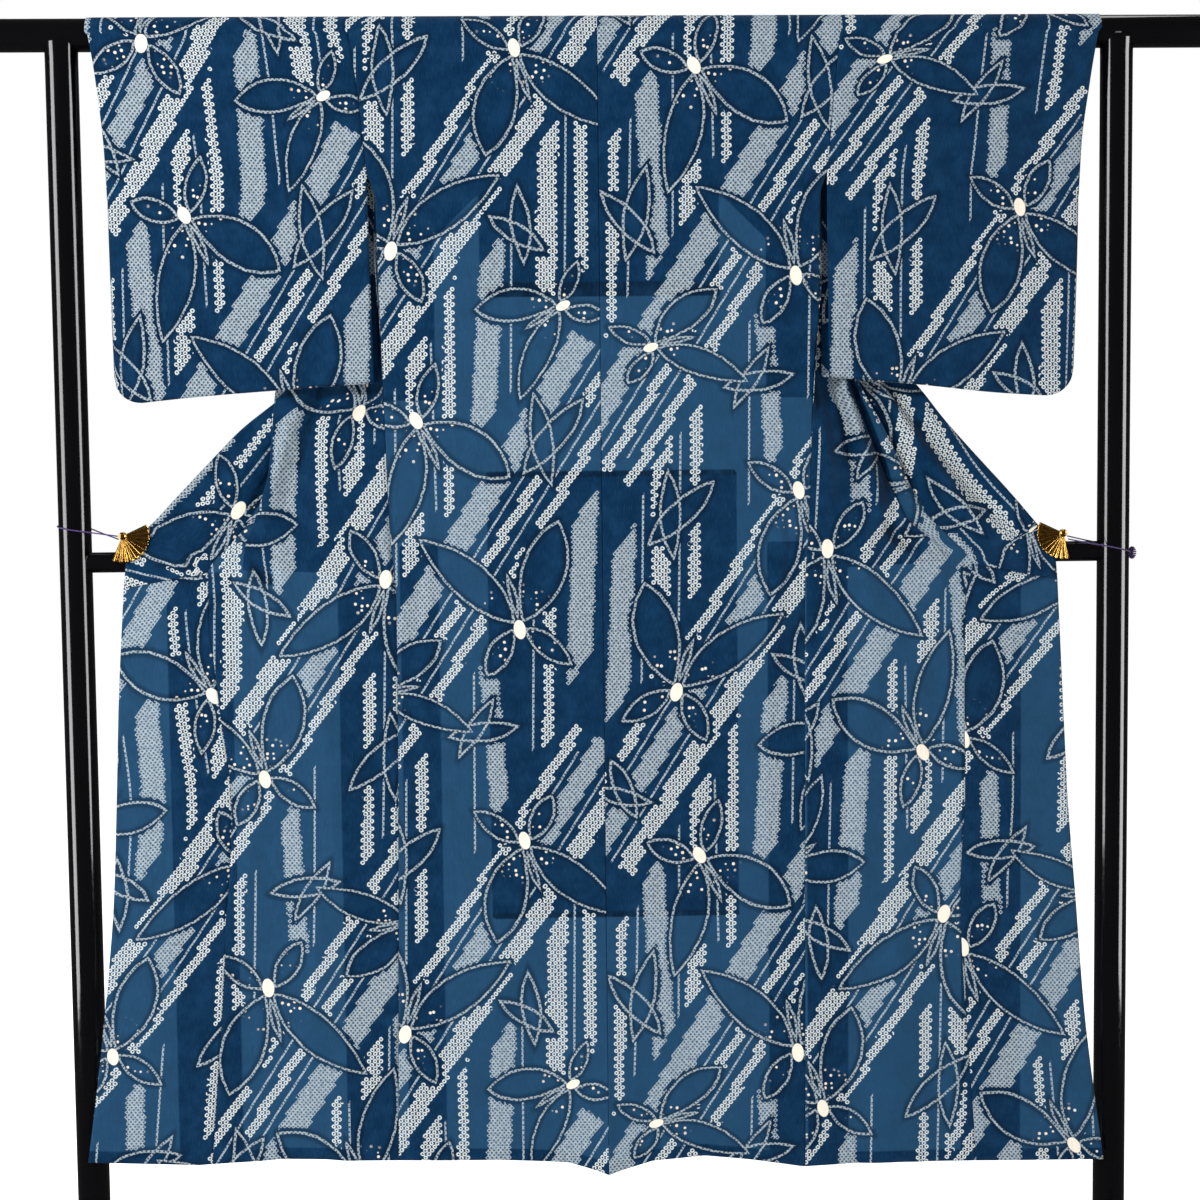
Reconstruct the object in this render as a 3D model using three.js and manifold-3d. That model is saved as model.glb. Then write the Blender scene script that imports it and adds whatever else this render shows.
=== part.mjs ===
// A yukata hung by its sleeves on a kimono stand, seen from its back.
// Millimetres, +Z up, the back of the robe faces -Y, the origin is on the floor under the middle.
import * as THREE from 'three';
import { mergeVertices } from 'three/addons/utils/BufferGeometryUtils.js';
import Module from 'manifold-3d';

const wasm = await Module();
wasm.setup();

// Driving sizes of the stand
const railHeight = 1700;
const railRadius = 21;
const railLength = 1800;
const postSpacing = 1384;
const midRailRadius = 13.5;
const midRailDrop = 686;
const footLength = 420;
const footWidth = 64;
const footHeight = 42;
const footBevel = 4;
const roundSides = 28;

// Driving sizes of the cloth
const clothWall = 1.2;
const liningWall = 1;
const seamGap = 0.3;
const railClearance = 0.6;
const garmentShift = 5;
const neckHalf = 88;
const longestDrop = 1530;
const hemZoneStart = 1158;
const cuffOpening = 235;
const sleeveSeam = 205;
const sideSeamTop = 370;
const sleeveCorner = 37;
const collarNeckDrop = 78;
const collarNeckHalf = 42;
const collarNeckDepth = 25.5;
const overlapTop = 722;
const foldBend = 14;
const innerBend = 9;
const turnWidth = 3;
const seamRidge = 7;

const halfWall = clothWall / 2;
const foldRadius = railRadius + railClearance + halfWall;
const frontTop = foldRadius + seamGap;
const postX = postSpacing / 2;

// A table is a list of rows whose numbers are named by its columns.
function table(columns, rows) {
  return rows.map((row) => Object.fromEntries(columns.map((name, i) => [name, row[i]])));
}

// The value of a column between the rows of a table, along its first column.
function readTable(rows, key, column, at) {
  if (at <= rows[0][key]) return rows[0][column];
  for (let i = 1; i < rows.length; i += 1) {
    if (at <= rows[i][key]) {
      const share = (at - rows[i - 1][key]) / (rows[i][key] - rows[i - 1][key]);
      return THREE.MathUtils.lerp(rows[i - 1][column], rows[i][column], share);
    }
  }
  return rows[rows.length - 1][column];
}

// Half width of the body from the centre seam to its side, by the drop below the shoulder fold
const bodySides = table(['drop', 'left', 'right'], [
  [0, 326, 320],
  [100, 312, 309],
  [205, 301, 299],
  [235, 291, 290],
  [370, 288, 288],
  [486, 285, 280],
  [669, 280, 274],
  [761, 273, 268],
  [1530, 283, 266],
]);

// Distance of the sleeve's outer edge from the centre seam
const sleeveEdges = table(['drop', 'left', 'right'], [
  [0, 661, 661],
  [86, 649, 647],
  [176, 642, 637],
  [305, 640, 634],
  [501, 636, 627],
]);

// The inner edge below the seam, which swings free of the body, in the near and the far layer
const sleeveInner = table(['drop', 'left', 'right', 'far'], [
  [205, 301, 299, 301],
  [235, 301, 299, 293],
  [476, 297, 302, 293],
]);

// The lower edge of the sleeve, by its distance from the centre seam
const sleeveBottoms = table(['out', 'left', 'right'], [
  [297, 476, 473],
  [420, 484, 484],
  [530, 492, 496],
  [640, 503, 503],
]);

// Where the middle of the sleeve hangs, and half the space between its two layers
const sleeveDepths = table(['drop', 'middle', 'inner', 'outer'], [
  [22.2, 0, 22.2, 22.2],
  [100, -2.17, 20.03, 16.5],
  [205, -5.1, 17.1, 6],
  [235, -5.9, 15.6, 3.2],
  [370, -10, 8, 3.2],
  [430, -12, 5.5, 3.2],
  [503, -13, 3.2, 3.2],
]);

// The lower edge of the whole robe, left is negative
const hemLine = table(['x', 'drop'], [
  [-700, 1510],
  [-550, 1518],
  [-440, 1513],
  [-286, 1517],
  [-150, 1519],
  [-55, 1525],
  [0, 1541],
  [60, 1524],
  [130, 1519],
  [190, 1526],
  [262, 1537],
  [400, 1533],
  [540, 1534],
  [690, 1534],
]);

// Sections of a front half, drawn outward from the side seam. Its cloth turns behind the sleeve,
// runs out to a fold, back to a second fold, and out again to the seam of the collar. The rim is the
// collar's free edge, which is pulled straight from the back of the neck to the clip.
const frontColumns = ['drop', 'turn', 'foldX', 'foldY', 'backX', 'backY',
  'seamX', 'seamY', 'rimX', 'rimDrop', 'rimY'];
const frontSections = {
  left: table(frontColumns, [
    [22.5, 0, 247, 22.2, 167, 22.2, 88, 22.2, 42, 118, 26],
    [120, 0, 250, 21, 195, 23, 146, 24, 88, 166, 28],
    [205, 0, 262, 19, 225, 22, 195, 24, 140, 218, 29],
    [270, 0, 270, 15, 250, 20, 238, 23, 188, 265, 30],
    [320, 0.2, 279, 8, 272, 16, 268, 22, 235, 311, 31],
    [370, 1, 290, 0, 290, 9, 292, 17, 285, 358, 30],
    [400, 1, 322, 3.5, 300, 9, 309, 15, 330, 402, 26],
    [430, 1, 368, 3.5, 308, 9, 326, 14.5, 368, 440, 21],
    [486, 1, 430, 2, 332, 7.5, 354, 13, 415, 485, 16],
    [540, 0.4, 434, -8, 366, -3, 388, 2.5, 475, 533, 8],
    [590, 0, 438, -16, 396, -11, 418, -5.5, 515, 574, 1],
    [627, 0, 448, -19, 422, -14, 442, -9, 545, 606, -5],
    [660, 0, 459, -20.5, 446, -15.8, 468, -11.8, 570, 633, -10],
    [690, 0, 471, -21, 468, -17, 494, -14.5, 590, 655, -14.5],
    [722, 0, 474, -21.5, 492, -18.2, 520, -17.6, 604, 668, -17.6],
    [761, 0, 462, -22, 490, -19.5, 520, -18.5, 0, 0, 0],
    [891, 0, 430, -22, 470, -20.5, 510, -20, 0, 0, 0],
    [1024, 0, 395, -22, 446, -21, 496, -20.5, 0, 0, 0],
    [1158, 0, 372, -23, 438, -21, 503, -20.5, 0, 0, 0],
    [1530, 0, 366, -25, 448, -19, 532, -22, 0, 0, 0],
  ]),
  right: table(frontColumns, [
    [22.5, 0, 245, 22.2, 167, 22.2, 88, 22.2, 42, 118, 26],
    [120, 0, 250, 21, 195, 23, 146, 24, 88, 166, 28],
    [205, 0, 262, 19, 225, 22, 195, 24, 140, 218, 29],
    [270, 0, 270, 15, 250, 20, 238, 23, 188, 265, 30],
    [320, 0.2, 279, 8, 272, 16, 268, 22, 235, 311, 31],
    [370, 1, 290, 0, 290, 9, 292, 17, 285, 358, 30],
    [400, 1, 310, 3.5, 297, 9, 309, 15, 332, 400, 26],
    [430, 1, 322, 3.5, 302, 9, 322, 14.5, 374, 438, 21],
    [486, 1, 336, 2, 309, 7.5, 346, 13, 424, 482, 16],
    [540, 0.4, 354, -8, 326, -3, 374, 2.5, 459, 528, 8],
    [590, 0, 374, -15, 342, -10, 396, -4.5, 487, 562, 1],
    [627, 0, 389, -18.5, 356, -13.5, 412, -8.5, 510, 589, -5],
    [660, 0, 403, -20.5, 378, -15.8, 436, -11.8, 538, 621, -10],
    [690, 0, 437, -21, 424, -17, 466, -14.5, 561, 648, -14.5],
    [722, 0, 458, -21.5, 474, -18.2, 493, -17.6, 580, 671, -17.6],
    [761, 0, 450, -22, 468, -19.5, 484, -18.5, 0, 0, 0],
    [891, 0, 415, -22, 452, -20.5, 482, -20, 0, 0, 0],
    [1024, 0, 385, -22, 436, -21, 483, -20.5, 0, 0, 0],
    [1158, 0, 360, -23, 420, -21, 477, -20.5, 0, 0, 0],
    [1530, 0, 350, -19, 428, -24, 499, -22, 0, 0, 0],
  ]),
};

// The end of the collar beside the clip, from the overlap's seam to the front edge
const collarEnds = {
  left: table(['seamX', 'seamDrop', 'rimX', 'rimDrop'], [
    [557, 729, 611, 675],
    [594, 736, 618, 682],
    [631, 742, 625, 689],
  ]),
  right: table(['seamX', 'seamDrop', 'rimX', 'rimDrop'], [
    [531, 730, 588, 680],
    [569, 738, 596, 689],
    [607, 744, 603, 697],
  ]),
};
const collarEndDepth = -18;
const overlapHemDepth = -26;

// The free front edge of the overlap, from the collar's end to the hem
const overlapEdges = {
  left: table(['drop', 'out'], [
    [742, 631], [889, 641], [1022, 647], [1156, 654], [1291, 667], [1427, 683], [1530, 697],
  ]),
  right: table(['drop', 'out'], [
    [744, 607], [907, 615], [1042, 622], [1178, 633], [1315, 644], [1401, 654], [1530, 672],
  ]),
};

// Pieces of cloth that line the back inside
const linings = {
  shoulder_lining: { left: -157, right: 157, top: 36, bottom: 366, across: 6, down: 5 },
  seat_lining: { left: -152, right: 178, top: 594, bottom: 1190, across: 6, down: 8 },
};

const clothRows = [60, 100, 120, 205, 235, 270, 320, 345, 370, 400, 430, 457, 486, 513, 540,
  565, 590, 609, 627, 644, 660, 675, 690, 706, 722, 740, 761, 820, 891, 1024, 1158, 1250, 1340,
  1430, 1530];
const backRows = [60, 100, 205, 235, 300, 370, 486, 590, 669, 761, 891, 1024, 1158, 1250,
  1340, 1430, 1490, 1530];
const sleeveRows = [60, 100, 150, 205, 235, 300, 370, 430, 476];

const materials = {
  cloth: { color: 0x2a567c, roughness: 0.7, metalness: 0 },
  lining: { color: 0x1d4266, roughness: 0.75, metalness: 0 },
  lacquer: { color: 0x0b0a0c, roughness: 0.18, metalness: 0 },
  gold: { color: 0xc9952c, roughness: 0.3, metalness: 1 },
  cord: { color: 0x35205c, roughness: 0.6, metalness: 0 },
};

const object = new THREE.Group();
const garment = new THREE.Group();
garment.position.set(garmentShift, 0, railHeight);
object.add(garment);

function addMesh(parent, name, geometry, material) {
  const mesh = new THREE.Mesh(geometry, new THREE.MeshStandardMaterial(materials[material]));
  mesh.name = name;
  parent.add(mesh);
  return mesh;
}

// A point of the robe, from its place across, its depth and its drop below the shoulder fold.
function clothPoint(x, y, drop) {
  return new THREE.Vector3(x, y, foldRadius - drop);
}

function clothGeometry(points, triangles) {
  let volume = 0;
  for (const [a, b, c] of triangles) {
    volume += points[a].dot(points[b].clone().cross(points[c]));
  }
  const outward = volume > 0 ? triangles : triangles.map(([a, b, c]) => [a, c, b]);
  const geometry = new THREE.BufferGeometry();
  geometry.setAttribute('position',
    new THREE.Float32BufferAttribute(points.flatMap((p) => p.toArray()), 3));
  geometry.setIndex(outward.flat());
  return geometry;
}

// The direction square to a grid of points at one of them.
function gridNormal(grid, r, c) {
  const down = grid[Math.min(r + 1, grid.length - 1)][c].clone().sub(grid[Math.max(r - 1, 0)][c]);
  const row = grid[r];
  const across = row[Math.min(c + 1, row.length - 1)].clone().sub(row[Math.max(c - 1, 0)]);
  return down.cross(across).normalize();
}

// Both faces of a wall of cloth round a grid of points, as corners and as joined rows.
function wallFaces(grid, wall) {
  const width = grid[0].length;
  const points = [];
  for (const side of [1, -1]) {
    grid.forEach((row, r) => row.forEach((p, c) => {
      points.push(p.clone().addScaledVector(gridNormal(grid, r, c), side * wall / 2));
    }));
  }
  const faceSize = grid.length * width;
  const corner = (side, r, c) => side * faceSize + r * width + c;
  const triangles = [];
  const quad = (a, b, c, d) => triangles.push([a, b, c], [a, c, d]);
  for (let r = 0; r + 1 < grid.length; r += 1) {
    for (let c = 0; c + 1 < width; c += 1) {
      quad(corner(0, r, c), corner(0, r + 1, c), corner(0, r + 1, c + 1), corner(0, r, c + 1));
      quad(corner(1, r, c), corner(1, r, c + 1), corner(1, r + 1, c + 1), corner(1, r + 1, c));
    }
  }
  return { points, triangles, quad, corner, lastRow: grid.length - 1, lastColumn: width - 1 };
}

// A closed wall of cloth with its rim all round.
function sheetGeometry(grid, wall) {
  const { points, triangles, quad, corner, lastRow, lastColumn } = wallFaces(grid, wall);
  for (let r = 0; r < lastRow; r += 1) {
    quad(corner(0, r, 0), corner(1, r, 0), corner(1, r + 1, 0), corner(0, r + 1, 0));
    quad(corner(0, r + 1, lastColumn), corner(1, r + 1, lastColumn),
      corner(1, r, lastColumn), corner(0, r, lastColumn));
  }
  for (let c = 0; c < lastColumn; c += 1) {
    quad(corner(0, 0, c + 1), corner(1, 0, c + 1), corner(1, 0, c), corner(0, 0, c));
    quad(corner(0, lastRow, c), corner(1, lastRow, c),
      corner(1, lastRow, c + 1), corner(0, lastRow, c + 1));
  }
  return clothGeometry(points, triangles);
}

function hemDrop(drop, x) {
  if (drop <= hemZoneStart) return drop;
  const share = (drop - hemZoneStart) / (longestDrop - hemZoneStart);
  return THREE.MathUtils.lerp(hemZoneStart, readTable(hemLine, 'x', 'drop', x), share);
}

// The angles over the rail, from its far side to the side of the camera.
function railAngles(steps) {
  return Array.from({ length: steps + 1 }, (_, i) => Math.PI * (1 - i / steps));
}

function overRail(x, angle) {
  return clothPoint(x, -foldRadius * Math.cos(angle), foldRadius * (1 - Math.sin(angle)));
}

// The centre seam stands forward as a soft ridge above the hem.
function backDepth(x, drop) {
  const low = THREE.MathUtils.smoothstep(drop, 1200, longestDrop);
  const ridge = seamRidge * Math.exp(-Math.abs(x) / 16);
  return -foldRadius - low * (ridge + 1.5 * Math.sin(x / 45));
}

function backGrid(side) {
  const sign = side === 'left' ? -1 : 1;
  const columns = 9;
  const across = Array.from({ length: columns + 1 }, (_, c) => (c / columns) ** 1.15);
  const half = (drop) => readTable(bodySides, 'drop', side, drop) - seamGap / 2;
  const place = (share, drop) => sign * (seamGap / 2 + share * half(drop));
  const top = railAngles(8).map((angle) => across.map((share) => overRail(place(share, 0), angle)));
  const hanging = backRows.map((drop) => across.map((share) => {
    const x = place(share, drop);
    return clothPoint(x, backDepth(x, drop), hemDrop(drop, x));
  }));
  return [...top, ...hanging];
}

// The far layer of the sleeve is sewn to the front half, which starts at the same depth.
function sleeveDepth(drop, share, layer) {
  const read = (column) => readTable(sleeveDepths, 'drop', column, drop);
  const outer = read('outer');
  const space = outer + (read('inner') - outer) * Math.sqrt(1 - share);
  return read('middle') + layer * space;
}

function frontSidePoint(side, drop, turn) {
  const half = readTable(bodySides, 'drop', side, drop);
  if (drop <= sleeveSeam) return [half, sleeveDepth(drop, 0, 1)];
  const share = Math.min((drop - sleeveSeam) / (sideSeamTop - sleeveSeam), 1);
  const depth = THREE.MathUtils.lerp(sleeveDepth(sleeveSeam, 0, 1), -foldRadius, share);
  return [half + share * (seamGap + turn * (halfWall + 0.1)), depth];
}

// One section of a front half, from the side seam to the seam of the collar or the overlap.
function frontRow(side, drop) {
  const sign = side === 'left' ? -1 : 1;
  const read = (column) => readTable(frontSections[side], 'drop', column, drop);
  const turn = read('turn');
  const [sideX, sideY] = frontSidePoint(side, drop, turn);
  const [foldX, foldY, backX, backY] = ['foldX', 'foldY', 'backX', 'backY'].map(read);
  const [seamX, seamY] = [read('seamX'), read('seamY')];
  const toward = (from, to, most) => {
    const length = Math.min(most, 0.3 * Math.abs(to - from));
    return from + Math.sign(to - from) * length;
  };
  const mix = THREE.MathUtils.lerp;
  const outline = [
    [sideX, sideY],
    [mix((sideX + foldX) / 2, sideX + turnWidth, turn), mix((sideY + foldY) / 2, foldY, turn)],
    [toward(foldX, sideX, foldBend), foldY],
    [foldX, mix(foldY, backY, 0.4)],
    [toward(foldX, backX, foldBend), mix(foldY, backY, 0.8)],
    [toward(backX, foldX, innerBend), backY],
    [backX, mix(backY, seamY, 0.4)],
    [toward(backX, seamX, innerBend), mix(backY, seamY, 0.8)],
    [seamX, seamY],
  ];
  const curve = new THREE.CatmullRomCurve3(outline.map(([x, y]) => new THREE.Vector3(x, y, 0)));
  const steps = [2, 3, 2, 2, 2, 1, 1, 2];
  const stations = steps.flatMap((count, i) => Array.from({ length: count }, (_, k) => i + k / count));
  return [...stations, steps.length].map((station) => {
    const p = curve.getPoint(station / steps.length);
    return clothPoint(sign * p.x, p.y, hemDrop(drop, sign * p.x));
  });
}

function frontGrid(side) {
  return [frontTop, ...clothRows].map((drop) => frontRow(side, drop));
}

// The overlap hangs from the collar's end, and its rows go on from those of the front half.
function overlapGrid(side) {
  const sign = side === 'left' ? -1 : 1;
  const tops = [{ seamDrop: overlapTop }, ...collarEnds[side]].map((end) => end.seamDrop + seamGap);
  const rows = clothRows.filter((drop) => drop >= overlapTop);
  return rows.map((drop) => {
    const share = (drop - overlapTop) / (longestDrop - overlapTop);
    const inner = readTable(frontSections[side], 'drop', 'seamX', drop) + seamGap;
    const innerY = readTable(frontSections[side], 'drop', 'seamY', drop);
    return tops.map((top, k) => {
      const level = THREE.MathUtils.lerp(top, longestDrop, share);
      const outer = readTable(overlapEdges[side], 'drop', 'out', level);
      const across = k / (tops.length - 1);
      const x = sign * THREE.MathUtils.lerp(inner, outer, across);
      const outerY = THREE.MathUtils.lerp(collarEndDepth, overlapHemDepth, share);
      const y = THREE.MathUtils.lerp(innerY, outerY, across);
      return clothPoint(x, y, hemDrop(level, x));
    });
  });
}

// A strip of cloth between two edges, given as pairs of points.
function stripGrid(pairs, steps) {
  return pairs.map(([from, to]) => Array.from({ length: steps + 1 },
    (_, i) => from.clone().lerp(to, i / steps)));
}

// The collar runs from one clip round the back of the neck to the other.
function collarGrid() {
  const half = (side) => {
    const sign = side === 'left' ? -1 : 1;
    const pair = (seam, rim) => {
      const from = clothPoint(sign * seam[0], seam[1], seam[2]);
      const to = clothPoint(sign * rim[0], rim[1], rim[2]);
      const inset = to.clone().sub(from).normalize().multiplyScalar(2 * halfWall + seamGap);
      return [from.add(inset), to];
    };
    const rows = [frontTop, ...clothRows.filter((drop) => drop <= overlapTop)];
    const read = (column, drop) => readTable(frontSections[side], 'drop', column, drop);
    const along = rows.map((drop) => pair([read('seamX', drop), read('seamY', drop), drop],
      [read('rimX', drop), read('rimY', drop), read('rimDrop', drop)]));
    const end = collarEnds[side].map((row) => pair([row.seamX, collarEndDepth, row.seamDrop],
      [row.rimX, collarEndDepth, row.rimDrop]));
    return [...along, ...end];
  };
  const neck = [-0.66, -0.33, 0, 0.33, 0.66].map((share) => [
    clothPoint(share * neckHalf, foldRadius, frontTop),
    clothPoint(share * collarNeckHalf, collarNeckDepth, collarNeckDrop + Math.abs(share) * 40),
  ]);
  return stripGrid([...half('left').reverse(), ...neck, ...half('right')], 4);
}

// Lies just inside the back and takes its form.
function liningGrid({ left, right, top, bottom, across, down }) {
  const behind = halfWall + seamGap + liningWall / 2;
  return Array.from({ length: down + 1 }, (_, r) => Array.from({ length: across + 1 }, (__, c) => {
    const x = THREE.MathUtils.lerp(left, right, c / across);
    const drop = THREE.MathUtils.lerp(top, bottom, r / down);
    return clothPoint(x, backDepth(x, drop) + behind, drop);
  }));
}

// How far the rounded lower corner rises at a distance from the sleeve's outer edge.
function cornerRise(fromEdge) {
  const inside = Math.max(sleeveCorner - fromEdge, 0);
  return sleeveCorner - Math.sqrt(Math.max(sleeveCorner ** 2 - inside ** 2, 0));
}

// Both layers of a sleeve as one grid, from the near lower edge over the rail to the far one.
function sleeveGrid(side) {
  const sign = side === 'left' ? -1 : 1;
  const shares = [0, 0.18, 0.36, 0.54, 0.72, 0.89, 0.93, 0.965, 0.99, 1];
  const last = sleeveRows[sleeveRows.length - 1];
  const outerX = (drop) => readTable(sleeveEdges, 'drop', side, drop);
  const edgeX = (drop, facing) => seamGap + (drop <= sleeveSeam
    ? readTable(bodySides, 'drop', side, drop)
    : readTable(sleeveInner, 'drop', facing > 0 ? 'far' : side, drop));
  const layer = (facing) => sleeveRows.map((drop) => shares.map((share) => {
    const innerX = (level) => edgeX(level, facing);
    const width = outerX(last) - innerX(last);
    const out = innerX(drop) + share * (outerX(drop) - innerX(drop));
    const bottom = readTable(sleeveBottoms, 'out', side, out) - cornerRise((1 - share) * width);
    const low = THREE.MathUtils.smoothstep(drop, cuffOpening, last);
    const level = drop + low * (bottom - last);
    const x = innerX(level) + share * (outerX(level) - innerX(level));
    return clothPoint(sign * x, sleeveDepth(level, share, facing), level);
  }));
  const fold = railAngles(8).map((angle) => shares.map((share) => {
    const x = edgeX(0) + share * (outerX(0) - edgeX(0));
    return overRail(sign * x, angle);
  }));
  return [...layer(-1).reverse(), ...fold.reverse(), ...layer(1)];
}

// A bag of cloth: open at its inner edge and at the cuff, sewn along the bottom and below the cuff.
function sleeveGeometry(side) {
  const grid = sleeveGrid(side);
  const { points, triangles, quad, corner, lastRow, lastColumn } = wallFaces(grid, clothWall);
  const sewnRows = sleeveRows.filter((drop) => drop > cuffOpening).length;
  for (let r = 0; r < lastRow; r += 1) {
    quad(corner(0, r, 0), corner(1, r, 0), corner(1, r + 1, 0), corner(0, r + 1, 0));
  }
  quad(corner(0, lastRow, 0), corner(1, lastRow, 0), corner(1, 0, 0), corner(0, 0, 0));
  for (let c = 0; c < lastColumn; c += 1) {
    quad(corner(0, 0, c), corner(0, 0, c + 1), corner(0, lastRow, c + 1), corner(0, lastRow, c));
    quad(corner(1, 0, c + 1), corner(1, 0, c), corner(1, lastRow, c), corner(1, lastRow, c + 1));
  }
  for (let r = 0; r < sewnRows; r += 1) {
    const far = lastRow - r;
    quad(corner(0, r, lastColumn), corner(0, r + 1, lastColumn),
      corner(0, far - 1, lastColumn), corner(0, far, lastColumn));
    quad(corner(1, r + 1, lastColumn), corner(1, r, lastColumn),
      corner(1, far, lastColumn), corner(1, far - 1, lastColumn));
  }
  for (let r = sewnRows; r < lastRow - sewnRows; r += 1) {
    quad(corner(0, r + 1, lastColumn), corner(1, r + 1, lastColumn),
      corner(1, r, lastColumn), corner(0, r, lastColumn));
  }
  const far = lastRow - sewnRows;
  quad(corner(0, sewnRows, lastColumn), corner(1, sewnRows, lastColumn),
    corner(1, far, lastColumn), corner(0, far, lastColumn));
  return clothGeometry(points, triangles);
}

// Solids for joining and cutting
function solidOf(geometry) {
  const plain = geometry.clone();
  plain.deleteAttribute('normal');
  plain.deleteAttribute('uv');
  const merged = mergeVertices(plain, 1e-4);
  return new wasm.Manifold(new wasm.Mesh({
    numProp: 3,
    vertProperties: new Float32Array(merged.attributes.position.array),
    triVerts: new Uint32Array(merged.index.array),
  }));
}

function geometryOf(solid) {
  const mesh = solid.getMesh();
  const geometry = new THREE.BufferGeometry();
  geometry.setAttribute('position', new THREE.Float32BufferAttribute(mesh.vertProperties, 3));
  geometry.setIndex(Array.from(mesh.triVerts));
  return geometry;
}

// A round bar with softened ends, along Z and centred.
function barGeometry(radius, length, soften) {
  const half = length / 2;
  const profile = [
    [0, -half], [radius - soften, -half], [radius, -half + soften],
    [radius, half - soften], [radius - soften, half], [0, half],
  ].map(([x, y]) => new THREE.Vector2(x, y));
  return new THREE.LatheGeometry(profile, roundSides).rotateX(Math.PI / 2);
}

function buildStand() {
  const rail = barGeometry(railRadius, railLength, 3).rotateY(Math.PI / 2).translate(0, 0, railHeight);
  addMesh(object, 'top_rail', rail, 'lacquer');
  const railCut = solidOf(barGeometry(railRadius + seamGap, railLength, 3)
    .rotateY(Math.PI / 2).translate(0, 0, railHeight));
  const midZ = railHeight - midRailDrop;
  let midRail = solidOf(barGeometry(midRailRadius, postSpacing, 0.5)
    .rotateY(Math.PI / 2).translate(0, 0, midZ));
  for (const [side, sign] of [['left', -1], ['right', 1]]) {
    const bottom = footHeight + seamGap;
    const length = railHeight - bottom;
    const middle = bottom + length / 2;
    const post = solidOf(barGeometry(railRadius, length, 0.5).translate(sign * postX, 0, middle));
    addMesh(object, `post_${side}`, geometryOf(post.subtract(railCut)), 'lacquer');
    midRail = midRail.subtract(solidOf(barGeometry(railRadius + seamGap, length, 0.5)
      .translate(sign * postX, 0, middle)));
    addMesh(object, `foot_${side}`, footGeometry().translate(sign * postX, 0, 0), 'lacquer');
  }
  addMesh(object, 'mid_rail', geometryOf(midRail), 'lacquer');
}

// A flat bar on the floor, square to the rails, with sloping ends.
function footGeometry() {
  const half = footLength / 2;
  const slope = 26;
  const outline = new THREE.Shape([
    [-half, 0], [half, 0], [half, footHeight * 0.4], [half - slope, footHeight],
    [-half + slope, footHeight], [-half, footHeight * 0.4],
  ].map(([x, y]) => new THREE.Vector2(x, y)));
  const width = footWidth - 2 * footBevel;
  const bar = new THREE.ExtrudeGeometry(outline, {
    depth: width, bevelEnabled: true, bevelThickness: footBevel, bevelSize: footBevel,
    bevelOffset: -footBevel, bevelSegments: 2, curveSegments: 4,
  });
  return bar.translate(0, 0, -width / 2).rotateX(Math.PI / 2).rotateZ(Math.PI / 2);
}

// Fan clips: a pleated fan in front of the collar's end, a jaw behind it, and a pin beside it
const clipSizes = {
  reach: 36, root: 4, folds: 11, foldHeight: 1, wall: 1,
  jawReach: 30, jawWall: 1.4, pinRadius: 5, pinProud: 2.5,
};
const clips = {
  left: { x: -630, drop: 673, from: 0.44, to: -2.0 },
  right: { x: 614, drop: 683, from: 2.7, to: 4.95 },
};

function clipGeometry({ x, drop, from, to }) {
  const { reach, root, folds, foldHeight, wall, jawReach, jawWall, pinRadius, pinProud } = clipSizes;
  const fanY = collarEndDepth - halfWall - seamGap - wall / 2 - foldHeight;
  const jawY = collarEndDepth + halfWall + seamGap + jawWall / 2;
  const middle = clothPoint(x, 0, drop);
  const spot = (angle, radius, y) => new THREE.Vector3(
    middle.x + radius * Math.cos(angle), y, middle.z + radius * Math.sin(angle));
  const fan = Array.from({ length: 2 * folds + 1 }, (_, i) => {
    const angle = THREE.MathUtils.lerp(from, to, i / (2 * folds));
    const lift = (i % 2 ? 1 : -1) * foldHeight;
    return [root, 0.5 * reach, i % 2 ? reach * 0.97 : reach].map((radius) => (
      spot(angle, radius, fanY + lift * radius / reach)));
  });
  const jaw = Array.from({ length: 9 }, (_, i) => {
    const angle = THREE.MathUtils.lerp(from, to, 0.2 + 0.6 * i / 8);
    return [root, jawReach].map((radius) => spot(angle, radius, jawY));
  });
  const pinFront = fanY - pinProud;
  const pinLength = jawY + jawWall / 2 - pinFront;
  const pin = barGeometry(pinRadius, pinLength, 1).rotateX(Math.PI / 2)
    .translate(middle.x, pinFront + pinLength / 2, middle.z);
  const parts = [sheetGeometry(fan, wall), sheetGeometry(jaw, jawWall), pin].map(solidOf);
  return geometryOf(parts[0].add(parts[1]).add(parts[2]));
}

// Each cord leaves its clip, goes round the post and comes back to the clip.
const cordRadius = 0.9;
const knotRadius = 5;
const cordLoops = {
  left: { sign: -1, start: -651, front: -645, outer: -642, behind: -643, inner: -647, end: -655 },
  right: { sign: 1, start: -668, front: -677, outer: -684, behind: -677, inner: -664, end: -660 },
};

function cordRoute(side) {
  const { sign, start, front, outer, behind, inner, end } = cordLoops[side];
  const loop = railRadius + seamGap + cordRadius;
  const clipX = sign * (clips[side].x + garmentShift);
  const beside = clipSizes.pinRadius + seamGap + cordRadius;
  const around = (degrees, z) => {
    const angle = THREE.MathUtils.degToRad(degrees);
    return [postX - loop * Math.cos(angle), loop * Math.sin(angle), z];
  };
  const mix = THREE.MathUtils.lerp;
  const places = [
    [clipX + beside, -21, start],
    [(clipX + beside + postX) / 2, -22, (start + front) / 2],
    around(-92, front),
    around(-115, mix(front, outer, 0.3)),
    around(-140, mix(front, outer, 0.6)),
    around(-165, mix(front, outer, 0.9)),
    around(-190, outer),
    around(-215, mix(outer, behind, 0.5)),
    around(-240, mix(outer, behind, 0.8)),
    around(-265, behind),
    around(-290, mix(behind, inner, 0.5)),
    around(-312, inner),
    [mix(clipX + beside, postX - 15, 0.5), -2, (inner + end) / 2],
    [clipX + beside, -18, end],
  ];
  return places.map(([x, y, z]) => new THREE.Vector3(sign * x, y, z + railHeight));
}

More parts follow.
